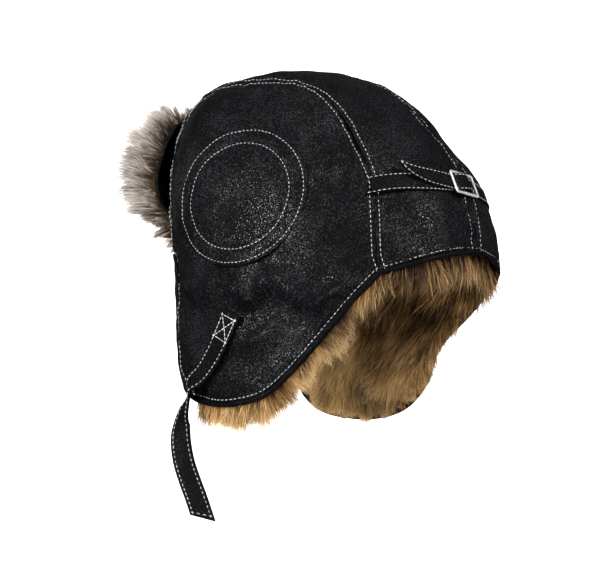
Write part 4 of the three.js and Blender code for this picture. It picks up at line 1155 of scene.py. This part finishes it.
def on_strap(route, thick, places, across):
    """Points of a strap's outer face, by distance from its start and from its middle, and the faces there."""
    points, faces, widths, slants = route
    table = np.column_stack([points, *strap_frame(points, faces), widths, slants])
    rows = read_at(places, gone_along(points), table)
    way, side, face = rows[:, 3:6], rows[:, 6:9], unit(rows[:, 9:12])
    shift = across * rows[:, 13] / rows[:, 12]
    line = rows[:, :3] + side * across[:, None] + way * shift[:, None] + face * (thick / 2 + THREAD_LIFT)
    return line, face


def edge_rows(route, thick, start, end, inset):
    """Stitches along both edges of a strap, between a distance from its start and one from its end."""
    gone = gone_along(route[0])
    places = np.linspace(start, gone[-1] - end, 160)
    half = np.maximum(np.interp(places, gone, route[2]) / 2 - inset, 0.15)
    return [on_strap(route, thick, places, half * hand) for hand in (-1, 1)]


strap_runs = edge_rows(CHIN_ROUTE, CHIN_WALL, BOX["end"] + 2, CUT_END, CHIN_INSET)
half = CHIN_WIDTH / 2 - CHIN_INSET
last = np.full(20, gone_along(CHIN_ROUTE[0])[-1] - CUT_END)
strap_runs.append(on_strap(CHIN_ROUTE, CHIN_WALL, last, np.linspace(-half, half, 20)))
for route, end in ((LEFT_ROUTE, 9), (RIGHT_ROUTE, 1.5), (TAB_ROUTE, 8)):
    strap_runs += edge_rows(route, STRAP_WALL, 0.6, end, BACK_INSET)
stitched("stitches_straps", strap_runs)

low, high, half = BOX["start"], BOX["end"], BOX["half"]
corners = [(low, -half), (low, half), (high, half), (high, -half)]
strokes = [*zip(corners, corners[1:] + corners[:1]), (corners[0], corners[2]), (corners[1], corners[3])]
box_runs = []
for (start, left), (end, right) in strokes:
    along, across = np.linspace(start, end, 24), np.linspace(left, right, 24)
    box_runs.append(on_strap(CHIN_ROUTE, CHIN_WALL, along, across))
stitched("stitches_box", box_runs, length=2.6, pitch=2.4, thickness=0.6)

# %% [markdown]
# ## Fur
# The fur is long-haired fake fur: fine acrylic hair on a knitted back, dark at the root and pale at the tip.
# A hair's own coordinates carry its tone across and the way along it, and two tables turn them to colour, one
# for pale hairs and one for dark.

# %% Fur fibre material
def fur_fibre(name, gold, shade):
    """Acrylic hair, coloured along its length by one table, with darker hairs by another."""
    made, tree, shader = material_named(name)
    place = add(tree, "ShaderNodeUVMap", {"uv_map": "OFBake"})
    parts = add(tree, "ShaderNodeSeparateXYZ", Vector=place).outputs
    light = add(tree, RAMP, {"stops": gold}, Fac=parts["Y"]).outputs["Color"]
    dark = add(tree, RAMP, {"stops": shade}, Fac=parts["Y"]).outputs["Color"]
    mixed = add(tree, "ShaderNodeMix", {"data_type": "RGBA"})
    fill(tree, mixed, {0: parts["X"], 6: dark, 7: light})
    fill(tree, shader, {"Base Color": mixed.outputs[2], "Roughness": 0.62, "Specular IOR Level": 0.25})
    return made


LINING_FUR = fur_fibre(
    "golden brown acrylic fur",
    [(0.0, "#150c05"), (0.25, "#462b11"), (0.5, "#8e6230"), (0.78, "#b78d51"), (1.0, "#dcc496")],
    [(0.0, "#080403"), (0.4, "#1a0f07"), (0.75, "#392412"), (1.0, "#644a2d")],
)
FLAP_FUR = fur_fibre(
    "grey beige acrylic fur",
    [(0.0, "#2e2318"), (0.22, "#6d5945"), (0.5, "#ab9b8b"), (0.75, "#d0c7be"), (1.0, "#f2f0ed")],
    [(0.0, "#15100b"), (0.4, "#3d3127"), (0.75, "#655648"), (1.0, "#978a7d")],
)

# %% [markdown]
# ## How fur is grown
# Hair curves would be lost in an export, so each hair is a flat tapered blade of three triangles, and
# Geometry Nodes grow them from the knitted back, whose points carry the way, the length and the thickness of
# the hair there. Noise that neighbours share bends them together in soft clumps. Real fur also sticks
# together in pointed locks, so every tip is drawn towards the middle of the Voronoi cell its root lies in,
# and each cell has a length and a tone of its own.

# %% Tree that grows fur
SCALED = {"operation": "SCALE"}
LESS = {"operation": "SUBTRACT"}
OVER = {"operation": "DIVIDE"}
POWER = {"operation": "POWER"}
STORE = "GeometryNodeStoreNamedAttribute"


def blade_mesh():
    """One hair, one long and one wide: a square and a pointed tip."""
    mesh = bpy.data.meshes.new("blade")
    rises = np.array([0, 0, 0.5, 0.5, 1.0])
    half = np.array([-0.5, 0.5, -0.44, 0.44, 0.0])
    mesh.from_pydata([(h, 0, r) for h, r in zip(half, rises)], [], [(0, 1, 3, 2), (2, 3, 4)])
    mark(mesh, "rise", rises)
    made = bpy.data.objects.new("blade", mesh)
    bpy.context.scene.collection.objects.link(made)
    return made


def fur_tree():
    """Hair over a mesh whose points say which way it lies, how long and how thick it is."""
    group, given, end = new_group("grow fur", {
        "Density": 400000.0, "Width": 0.0006, "Clump Size": 0.0075, "Clump Pull": 0.85, "Stray": 0.22,
        "Sag": 0.25, "Lock Size": 0.0055, "Lock Pull": 0.75,
    }, {"Hair": "NodeSocketObject", "Fur": "NodeSocketMaterial", "Seed": "NodeSocketInt"})
    marks = {name: add(group, ATTRIBUTE, {"data_type": "FLOAT"}, Name=name)
             for name in ("thick", "long", "dark", "tone", "rise")}
    marks.update({name: add(group, ATTRIBUTE, VECTOR, Name=name) for name in ("way", "clump", "gather")})
    seeds = [given["Seed"]] + [add(group, MATH, ADD, given["Seed"], step) for step in (1.0, 2.0, 3.0)]

    amount = add(group, MATH, TIMES, marks["thick"], given["Density"])
    roots = add(group, "GeometryNodeDistributePointsOnFaces", {"distribute_method": "RANDOM"},
                Mesh=given["Mesh"], Density=amount, Seed=given["Seed"])
    place = add(group, "GeometryNodeInputPosition")
    pitch = add(group, MATH, OVER, 1.0, given["Clump Size"])
    big = add(group, NOISE, Vector=place, Scale=pitch, Detail=1.0).outputs["Color"]
    fine_pitch = add(group, MATH, TIMES, pitch, 2.9)
    small = add(group, NOISE, Vector=place, Scale=fine_pitch, Detail=1.0).outputs["Color"]
    both = add(group, VECTORS, ADD, big, add(group, VECTORS, SCALED, small, Scale=0.6))
    clump = add(group, VECTORS, LESS, both, (0.8, 0.8, 0.8))
    cell_pitch = add(group, MATH, OVER, 1.0, given["Lock Size"])
    lock = add(group, CELLS, {"feature": "F1"}, Vector=place, Scale=cell_pitch).outputs
    gather = add(group, VECTORS, LESS, lock["Position"], place)
    lock_chance = add(group, "ShaderNodeSeparateXYZ", Vector=lock["Color"]).outputs
    lock_long = add(group, RANGE, Value=lock_chance["X"], To_Min=0.7, To_Max=1.06)
    lock_tone = add(group, RANGE, Value=lock_chance["Y"], To_Min=-0.28, To_Max=0.28)

    patch_pitch = add(group, MATH, TIMES, pitch, 0.4)
    patches = add(group, NOISE, Vector=place, Scale=patch_pitch, Detail=2.0)
    mottled = add(group, RANGE, Value=patches, From_Min=0.36, From_Max=0.6, To_Min=-0.5, To_Max=0.5)
    chance = add(group, CHANCE, {"data_type": "FLOAT"}, Seed=seeds[0])
    tone = add(group, MATH, ADD, mottled, add(group, MATH, TIMES, chance, 1.2))
    tone = add(group, MATH, ADD, tone, lock_tone)
    # The dark mark takes tone away; in the cap and flap linings it is in part painted shade.
    tone = add(group, MATH, LESS, tone, marks["dark"])
    tone = add(group, "ShaderNodeClamp", Value=tone, Min=0.02, Max=0.98)
    points = roots
    for name, settings, field in (("clump", VECTOR, clump), ("gather", VECTOR, gather), ("tone", {}, tone)):
        settings = {"data_type": "FLOAT", **settings, "domain": "POINT"}
        points = add(group, STORE, settings, Geometry=points, Name=name, Value=field)

    stray = add(group, CHANCE, VECTOR, (-1.0,) * 3, (1.0,) * 3, Seed=seeds[1])
    twist = add(group, CHANCE, VECTOR, (-0.8,) * 3, (0.8,) * 3, Seed=seeds[2])
    spread = add(group, CHANCE, VECTOR, (0.6, 1.0, 0.36), (1.25, 1.0, 1.2), Seed=seeds[3])
    way = add(group, VECTORS, ADD, marks["way"], add(group, VECTORS, SCALED, stray, Scale=given["Stray"]))
    way = add(group, VECTORS, ADD, way, add(group, VECTORS, SCALED, marks["clump"], Scale=0.35))
    facing = add(group, VECTORS, ADD, roots.outputs["Normal"], twist)
    turn = add(group, TURN_TO, {"primary_axis": "Z", "secondary_axis": "Y"}, Primary_Axis=way,
               Secondary_Axis=facing)
    tall = add(group, MATH, TIMES, marks["long"], lock_long)
    size = add(group, VECTORS, TIMES, add(group, XYZ, None, given["Width"], 1.0, tall), spread)
    hair = add(group, "GeometryNodeObjectInfo", Object=given["Hair"]).outputs["Geometry"]
    grown = add(group, PLACE_ON, Points=points, Instance=hair, Rotation=turn, Scale=size)
    real = add(group, "GeometryNodeRealizeInstances", Geometry=grown)

    rise = marks["rise"]
    bend = add(group, MATH, TIMES, add(group, MATH, POWER, rise, 1.7), marks["long"])
    pull = add(group, VECTORS, SCALED, marks["clump"], Scale=given["Clump Pull"])
    sag = add(group, XYZ, Z=add(group, MATH, TIMES, given["Sag"], -1.0))
    bending = add(group, VECTORS, SCALED, add(group, VECTORS, ADD, pull, sag), Scale=bend)
    drawing = add(group, MATH, TIMES, add(group, MATH, POWER, rise, 1.2), given["Lock Pull"])
    drawn = add(group, VECTORS, SCALED, marks["gather"], Scale=drawing)
    offset = add(group, VECTORS, ADD, drawn, bending)
    bent = add(group, "GeometryNodeSetPosition", Geometry=real, Offset=offset)

    joined = group.nodes.new("GeometryNodeJoinGeometry")
    hair_colour = add(group, XYZ, X=marks["tone"], Y=rise)
    back_colour = add(group, XYZ, X=patches, Y=0.12)
    for geometry, field in ((bent, hair_colour), (given["Mesh"], back_colour)):
        settings = {"data_type": "FLOAT2", "domain": "CORNER"}
        kept = add(group, STORE, settings, Geometry=geometry, Name="OFBake", Value=field)
        group.links.new(kept.outputs[0], joined.inputs[0])
    last = add(group, "GeometryNodeSetMaterial", Geometry=joined, Material=given["Fur"])
    group.links.new(last.outputs[0], end.inputs[0])
    return group


GROWING = fur_tree()
HAIR = blade_mesh()
MARKS = ("way", "long", "thick", "dark", "clump", "gather", "tone", "rise")
print("nodes in the fur's tree:", len(GROWING.nodes))

# %% [markdown]
# ## Fur on a knitted back
# The back is a thin closed wall with marks on its points. Its area, weighed by how thick the hair is to be,
# says how dense the hair has to stand for a given number of hairs, so the count of triangles is known.

# %% Fur on a back
def furred(name, node, slot, walls, marks, material, hairs, **values):
    """Fur on a closed knitted back, with marks on its points, as one piece that stands for a solid."""
    points, faces = walls
    mesh = bpy.data.meshes.new(name)
    mesh.from_pydata((points * MM).tolist(), [], faces.tolist())
    for label, value in marks.items():
        mark(mesh, label, value)
    worked = bmesh.new()
    worked.from_mesh(mesh)
    bmesh.ops.remove_doubles(worked, verts=worked.verts, dist=0.002 * MM)
    bmesh.ops.recalc_face_normals(worked, faces=worked.faces)
    layer = worked.verts.layers.float["thick"]
    amounts = [sum(v[layer] for v in face.verts) / len(face.verts) for face in worked.faces]
    area = sum(face.calc_area() * amount for face, amount in zip(worked.faces, amounts))
    worked.to_mesh(mesh)
    worked.free()
    mesh.shade_smooth()
    made = run_tree(name, mesh, GROWING, {"Density": hairs / area, "Hair": HAIR, "Fur": material, **values})
    for spare in [a.name for a in made.data.attributes if a.name in MARKS]:
        made.data.attributes.remove(made.data.attributes[spare])
    return dress(made, node)


# %% [markdown]
# ## The linings
# The cap is lined all over, and each flap has its own piece below a seam inside. Hair lies downwards and a
# little into the hat. Along the flap's edge it turns to point out over the leather, except down the front,
# where the edge is sewn too close for any to show.

# %% Lining fur
LINING_CLEAR = 1.2
LINING_OUT = -(LEATHER_WALL + LINING_CLEAR)
BACK_THICK = 3.2
LINING_RISE = 3.0
LINING_SEAM = -14.0
LINING_SPREAD = 1.35
CAP_HAIRS = 54000


def kept_in(points):
    """How far the lining keeps in from the leather's folds."""
    return -sum(np.abs(fold) for fold in fold_heights(points, LINING_SPREAD))


left_rim = np.vstack([edge_line(BROW_HEM, 40), edge_line(FLAP_HEM, 160)[1:], edge_line(NAPE_HEM, 40)[1:]])
LINING_RIM = shifted(left_rim, -LINING_RISE)
LINING_RIM[[0, -1], 0] = 0


def cap_rim(turns):
    """The level where the cap lining ends, at turns from the brow about the upright through the heart."""
    folded = np.where(turns > np.pi, 2 * np.pi - turns, turns)
    rim_turns = np.arctan2(np.abs(LINING_RIM[:, 0]), -(LINING_RIM[:, 1] - HEART[1]))
    best = np.full(turns.shape, LINING_SEAM)
    for a, b, start, end in zip(rim_turns[:-1], rim_turns[1:], LINING_RIM[:-1, 2], LINING_RIM[1:, 2]):
        here = (folded - a) * (folded - b) <= 0
        level = start + (end - start) * (folded - a) / (b - a if b != a else 1)
        best = np.where(here & (level > best), level, best)
    return best


def wall_points(turns, up):
    """Places on the form at turns about the upright through the heart and at a level."""
    ways = np.stack([np.sin(turns), -np.cos(turns), 0 * turns], axis=-1)
    start = np.stack([0 * turns + HEART[0], 0 * turns + HEART[1], 0 * turns + up], axis=-1)
    return seen_from(start, ways)


def down_over(points):
    """The way straight down over the form."""
    out = outwards(points)
    down = np.array([0, 0, -1.0])
    return unit(down - out * (out @ down)[..., None])


def leaning(points, flat, lean):
    """Ways that lie along the form and lean into the hat by so many degrees, with slow swirls."""
    out = outwards(points)
    swirl = np.radians(22) * ripple(points, 38, 90)[..., None]
    flat = unit(flat * np.cos(swirl) + np.cross(out, flat) * np.sin(swirl))
    lean = np.radians(lean)[..., None]
    return unit(flat * np.cos(lean) - out * np.sin(lean))


def lining_walls(base):
    """The knitted back between the leather and the hair."""
    outer = raised(base, LINING_OUT + kept_in(base))
    return wall_between(outer, raised(base, LINING_OUT - BACK_THICK + kept_in(base)))


def inner_marks(way, length, thick, dark):
    """Marks for a wall's points: hair grows on its inner face alone."""
    flat = way.reshape(-1, 3)
    return {
        "way": np.concatenate([flat, flat]),
        "long": np.tile(length.ravel() * MM, 2),
        "thick": np.concatenate([0 * thick.ravel(), thick.ravel()]),
        "dark": np.tile(dark.ravel(), 2),
    }


def dark_patches(points, patches):
    """How much darker the hair is near places along and up, each with its reach and its depth."""
    total = np.zeros(points.shape[:-1])
    for along, up, reach, depth in patches:
        total += depth * bell(np.hypot(points[..., 1] - along, points[..., 2] - up), reach)
    return total


turns, rows = np.meshgrid(np.linspace(0, 2 * np.pi, 121), np.linspace(0, 1, 22) ** 1.25, indexing="xy")
rim_points = wall_points(turns, cap_rim(turns))
top = np.array([0, -CROWN_LEAN, CROWN_HEIGHT])
cap_base = on_form(rim_points + (top - rim_points) * rows[..., None] * 0.97)
nape = np.clip((cap_base[..., 1] - 50) / 25, 0, 1)
beside = np.clip((60 - cap_base[..., 1]) / 20, 0, 1) * np.clip((np.abs(cap_base[..., 0]) - 60) / 12, 0, 1)
rim_lean = 14 - 16 * nape + 16 * beside  # degrees: upright at the nape, further in over the ears
lean = rim_lean + (42 - 4 * nape - rim_lean) * np.clip(rows * 5, 0, 1)
length = 24 - 3 * bell(rows, 0.05)
thick = 0.25 + 1.1 * bell(rows, 0.32) + 1.2 * bell(rows, 0.035)
# Painted shade: the hair is made darker at the nape and in a band just below the level of the hat's band,
# ahead of the nape.
dark = 0.6 * nape + 0.5 * bell(cap_base[..., 2] + 2, 11) * np.clip((60 - cap_base[..., 1]) / 15, 0, 1)
marks = inner_marks(leaning(cap_base, down_over(cap_base), lean), length, thick, dark)
walls = lining_walls(cap_base)
furred("fur_cap", "fur_lining_cap", "lining_fur", walls, marks, LINING_FUR, CAP_HAIRS, Seed=1)

# %% [markdown]
# ## The flaps' linings
# The near flap's hair turns out past the edge as a fringe, shorter towards the rear. The far flap is seen
# from inside: its hair leans in, is shorter near the edge and leaves the leather's edge bare all round.

# %% Flap linings
below = LINING_RIM[LINING_RIM[:, 2] < LINING_SEAM - 0.6]
FLAP_COLUMNS = 80
FLAP_HAIRS = {1: 56000, -1: 52000}
RIM_LEAN = {1: 15, -1: 34}  # degrees that the hair at the edge leans in
REAR_LEAN = 12
INNER_LEAN = 40
RIM_THICK = {1: 0.2, -1: 1.0}  # how much thicker the hair stands at the edge
flap_south = on_form(spaced(below, FLAP_COLUMNS))
ends = [np.arctan2(p[0], -(p[1] - HEART[1])) for p in (below[0], below[-1])]
flap_north = wall_points(np.linspace(*ends, FLAP_COLUMNS + 1), LINING_SEAM - 0.6)
shares = np.linspace(0, 1, 25)
flap_base = patch(flap_south, flap_north, straight(flap_south[0], flap_north[0], shares),
                  straight(flap_south[-1], flap_north[-1], shares), shares)
south_out = unit(np.cross(np.gradient(flap_south, axis=0), outwards(flap_south)))
front = np.clip((-54 - flap_south[:, 1]) / 14, 0, 1)[None, :, None]
towards = south_out[None] * (1 - front) + down_over(flap_base) * front
blend = np.clip(shares * 1.6, 0, 0.9)[:, None, None]
flat = unit(towards * (1 - blend) + down_over(flap_base) * blend)
rows = np.broadcast_to(shares[:, None], flap_base.shape[:2])
rear = np.clip(flap_south[:, 1] / 22, 0, 1)[None, :]
room = distance_to(flap_base, flap_south)
short = (1 - 0.45 * front[..., 0] * bell(rows, 0.3)) * (1 - 0.42 * rear * bell(rows, 0.25))
left_length = (25 - 5 * bell(rows, 0.1)) * short
right_length = np.clip(room * 1.1 + 6 + 11 * rear, 8, 25)
lengths = {1: left_length, -1: right_length}
# Darker hair in patches of the flap linings, each along, up, reach and depth. The patch just below the seam
# is painted shade; the other two only darken the hair.
DARK_PATCHES = [(-51, -31, 10, 0.5), (-30, -45, 10, 0.5), (15, -16, 9, 0.2)]
dark = dark_patches(flap_base, DARK_PATCHES) - 0.2
for side, word in SIDES:
    base = on_side(flap_base, side)
    rim_lean = RIM_LEAN[side] - (RIM_LEAN[side] - REAR_LEAN) * rear
    lean = rim_lean + (INNER_LEAN - rim_lean) * np.clip(rows * 4, 0, 1)
    way = leaning(base, on_side(flat, side), lean)
    marks = inner_marks(way, lengths[side], 0.7 + RIM_THICK[side] * bell(rows, 0.12), dark)
    marks["dark"] += 0.55 * np.tile((rear * bell(rows, 0.3)).ravel(), 2) * (side > 0)
    furred(f"fur_flap_{word}", f"fur_lining_flap_{word}", "lining_fur", lining_walls(base), marks, LINING_FUR,
           FLAP_HAIRS[side], Seed=5 + side)

# %% [markdown]
# ## Fur of the front flap
# The flap's fur is the longest and palest. Turned up, it springs forward and fans out from the flap's middle,
# and it sticks together in broader locks than the lining's.

# %% Front fur
FRONT_CLEAR = LEATHER_WALL + SEAM_GAP
FRONT_BACK = 3.0
FAN_LEVEL = 50.0  # the hair parts at this level
FAN_SPAN = 50.0
FRONT_LOCKS = {"Clump Size": 0.012, "Clump Pull": 0.7, "Sag": 0.1, "Stray": 0.2, "Lock Size": 0.008,
               "Lock Pull": 0.85}

share, across = np.meshgrid(np.linspace(0, 1, 25), np.linspace(-1, 1, 49), indexing="ij")
front_face = flap_point(share, across, np.full(share.shape, FRONT_CLEAR + FRONT_BACK))
back_face = flap_point(share, across, np.full(share.shape, FRONT_CLEAR))
up, half, _, _, fullness = flap_values(share)
fullness = fullness * (1 - 0.5 * np.abs(across) ** EDGE_CURL)
fan = np.stack([across * half, 0 * up, up - FAN_LEVEL], axis=-1) / FAN_SPAN
way = unit(outwards(on_form(front_face)) + fan + np.array([0, 0, -0.1])).reshape(-1, 3)
length = 3.5 + 33 * fullness**1.2 + 2.5 * ripple(front_face, 30, 95)
thick = np.clip((up - 36) / 14, 0.1, 1) + 0.4 * bell(1 - np.abs(across), 0.2)
dark = 0.35 * bell(up - FAN_LEVEL, 6) * np.clip(np.abs(across) * 2 - 1, 0, 1)
marks = {
    "way": np.concatenate([way, way]),
    "long": np.tile(length.ravel() * MM, 2),
    "thick": np.concatenate([thick.ravel(), 0 * thick.ravel()]),
    "dark": np.tile(dark.ravel(), 2),
}
walls = wall_between(front_face, back_face)
furred("fur_front", "front_flap_fur", "flap_fur", walls, marks, FLAP_FUR, 56000, Seed=9, **FRONT_LOCKS)
bpy.data.objects.remove(HAIR)

# %% [markdown]
# ## Studio
# A white bowl all round stands for the white paper sweep of a product photograph. Black leather only shows
# what it mirrors, so two soft lights, one ahead of the hat's left side and one high behind its nape, draw the
# bright patches on it. A third, broad and faint, hangs overhead and opens the shadows.

# %% Floor, walls and lights
FLOOR = -340.0
BOWL_RADIUS = 3400.0
BOWL_CORNER = 900.0
BOWL_HEIGHT = 3600.0

paper, tree, shader = material_named("white paper")
fill(tree, shader, {"Base Color": linear("#f4f4f4"), "Roughness": 0.9, "Emission Color": linear("#ffffff"),
                    "Emission Strength": 0.7})
sweep = [(r, FLOOR) for r in (1, 900, 1800, BOWL_RADIUS - BOWL_CORNER)]
for turn in np.linspace(0, np.pi / 2, 9)[1:]:
    sweep.append((BOWL_RADIUS - BOWL_CORNER * (1 - np.sin(turn)), FLOOR + BOWL_CORNER * (1 - np.cos(turn))))
sweep.append((BOWL_RADIUS, BOWL_HEIGHT))
rounds = np.linspace(0, 2 * np.pi, 73)[:-1]
points, faces = bar_through(np.array([[(r * np.cos(a), r * np.sin(a), z) for a in rounds] for r, z in sweep]))
faces.pop()  # the bowl is open at the top
mesh = bpy.data.meshes.new("paper_bowl")
mesh.from_pydata((points * MM).tolist(), [], [[int(i) for i in face] for face in faces])
mesh.shade_smooth()
mesh.materials.append(paper)
bowl = bpy.data.objects.new("paper_bowl", mesh)
bpy.context.scene.collection.objects.link(bowl)
bowl.visible_glossy = False


def soft_light(name, place, size, power):
    """A square area light that looks at the hat."""
    light = bpy.data.lights.new(name, "AREA")
    light.size = size * MM
    light.energy = power
    made = bpy.data.objects.new(name, light)
    made.location = Vector(place) * MM
    made.rotation_euler = (-Vector(place)).to_track_quat("-Z", "Y").to_euler()
    bpy.context.scene.collection.objects.link(made)
    print(f"{name}: {power} W")


soft_light("left_soft_light", (2050, -680, 420), 520, 29)
soft_light("rear_soft_light", (220, 1950, 1060), 600, 26)
soft_light("top_soft_light", (200, 100, 2300), 1400, 9)

world = bpy.data.worlds.new("studio")
bpy.context.scene.world = world
world.use_nodes = True
fill(world.node_tree, world.node_tree.nodes["Background"], {"Color": linear("#ffffff"), "Strength": 0.06})
bpy.context.scene.view_settings.view_transform = "Standard"
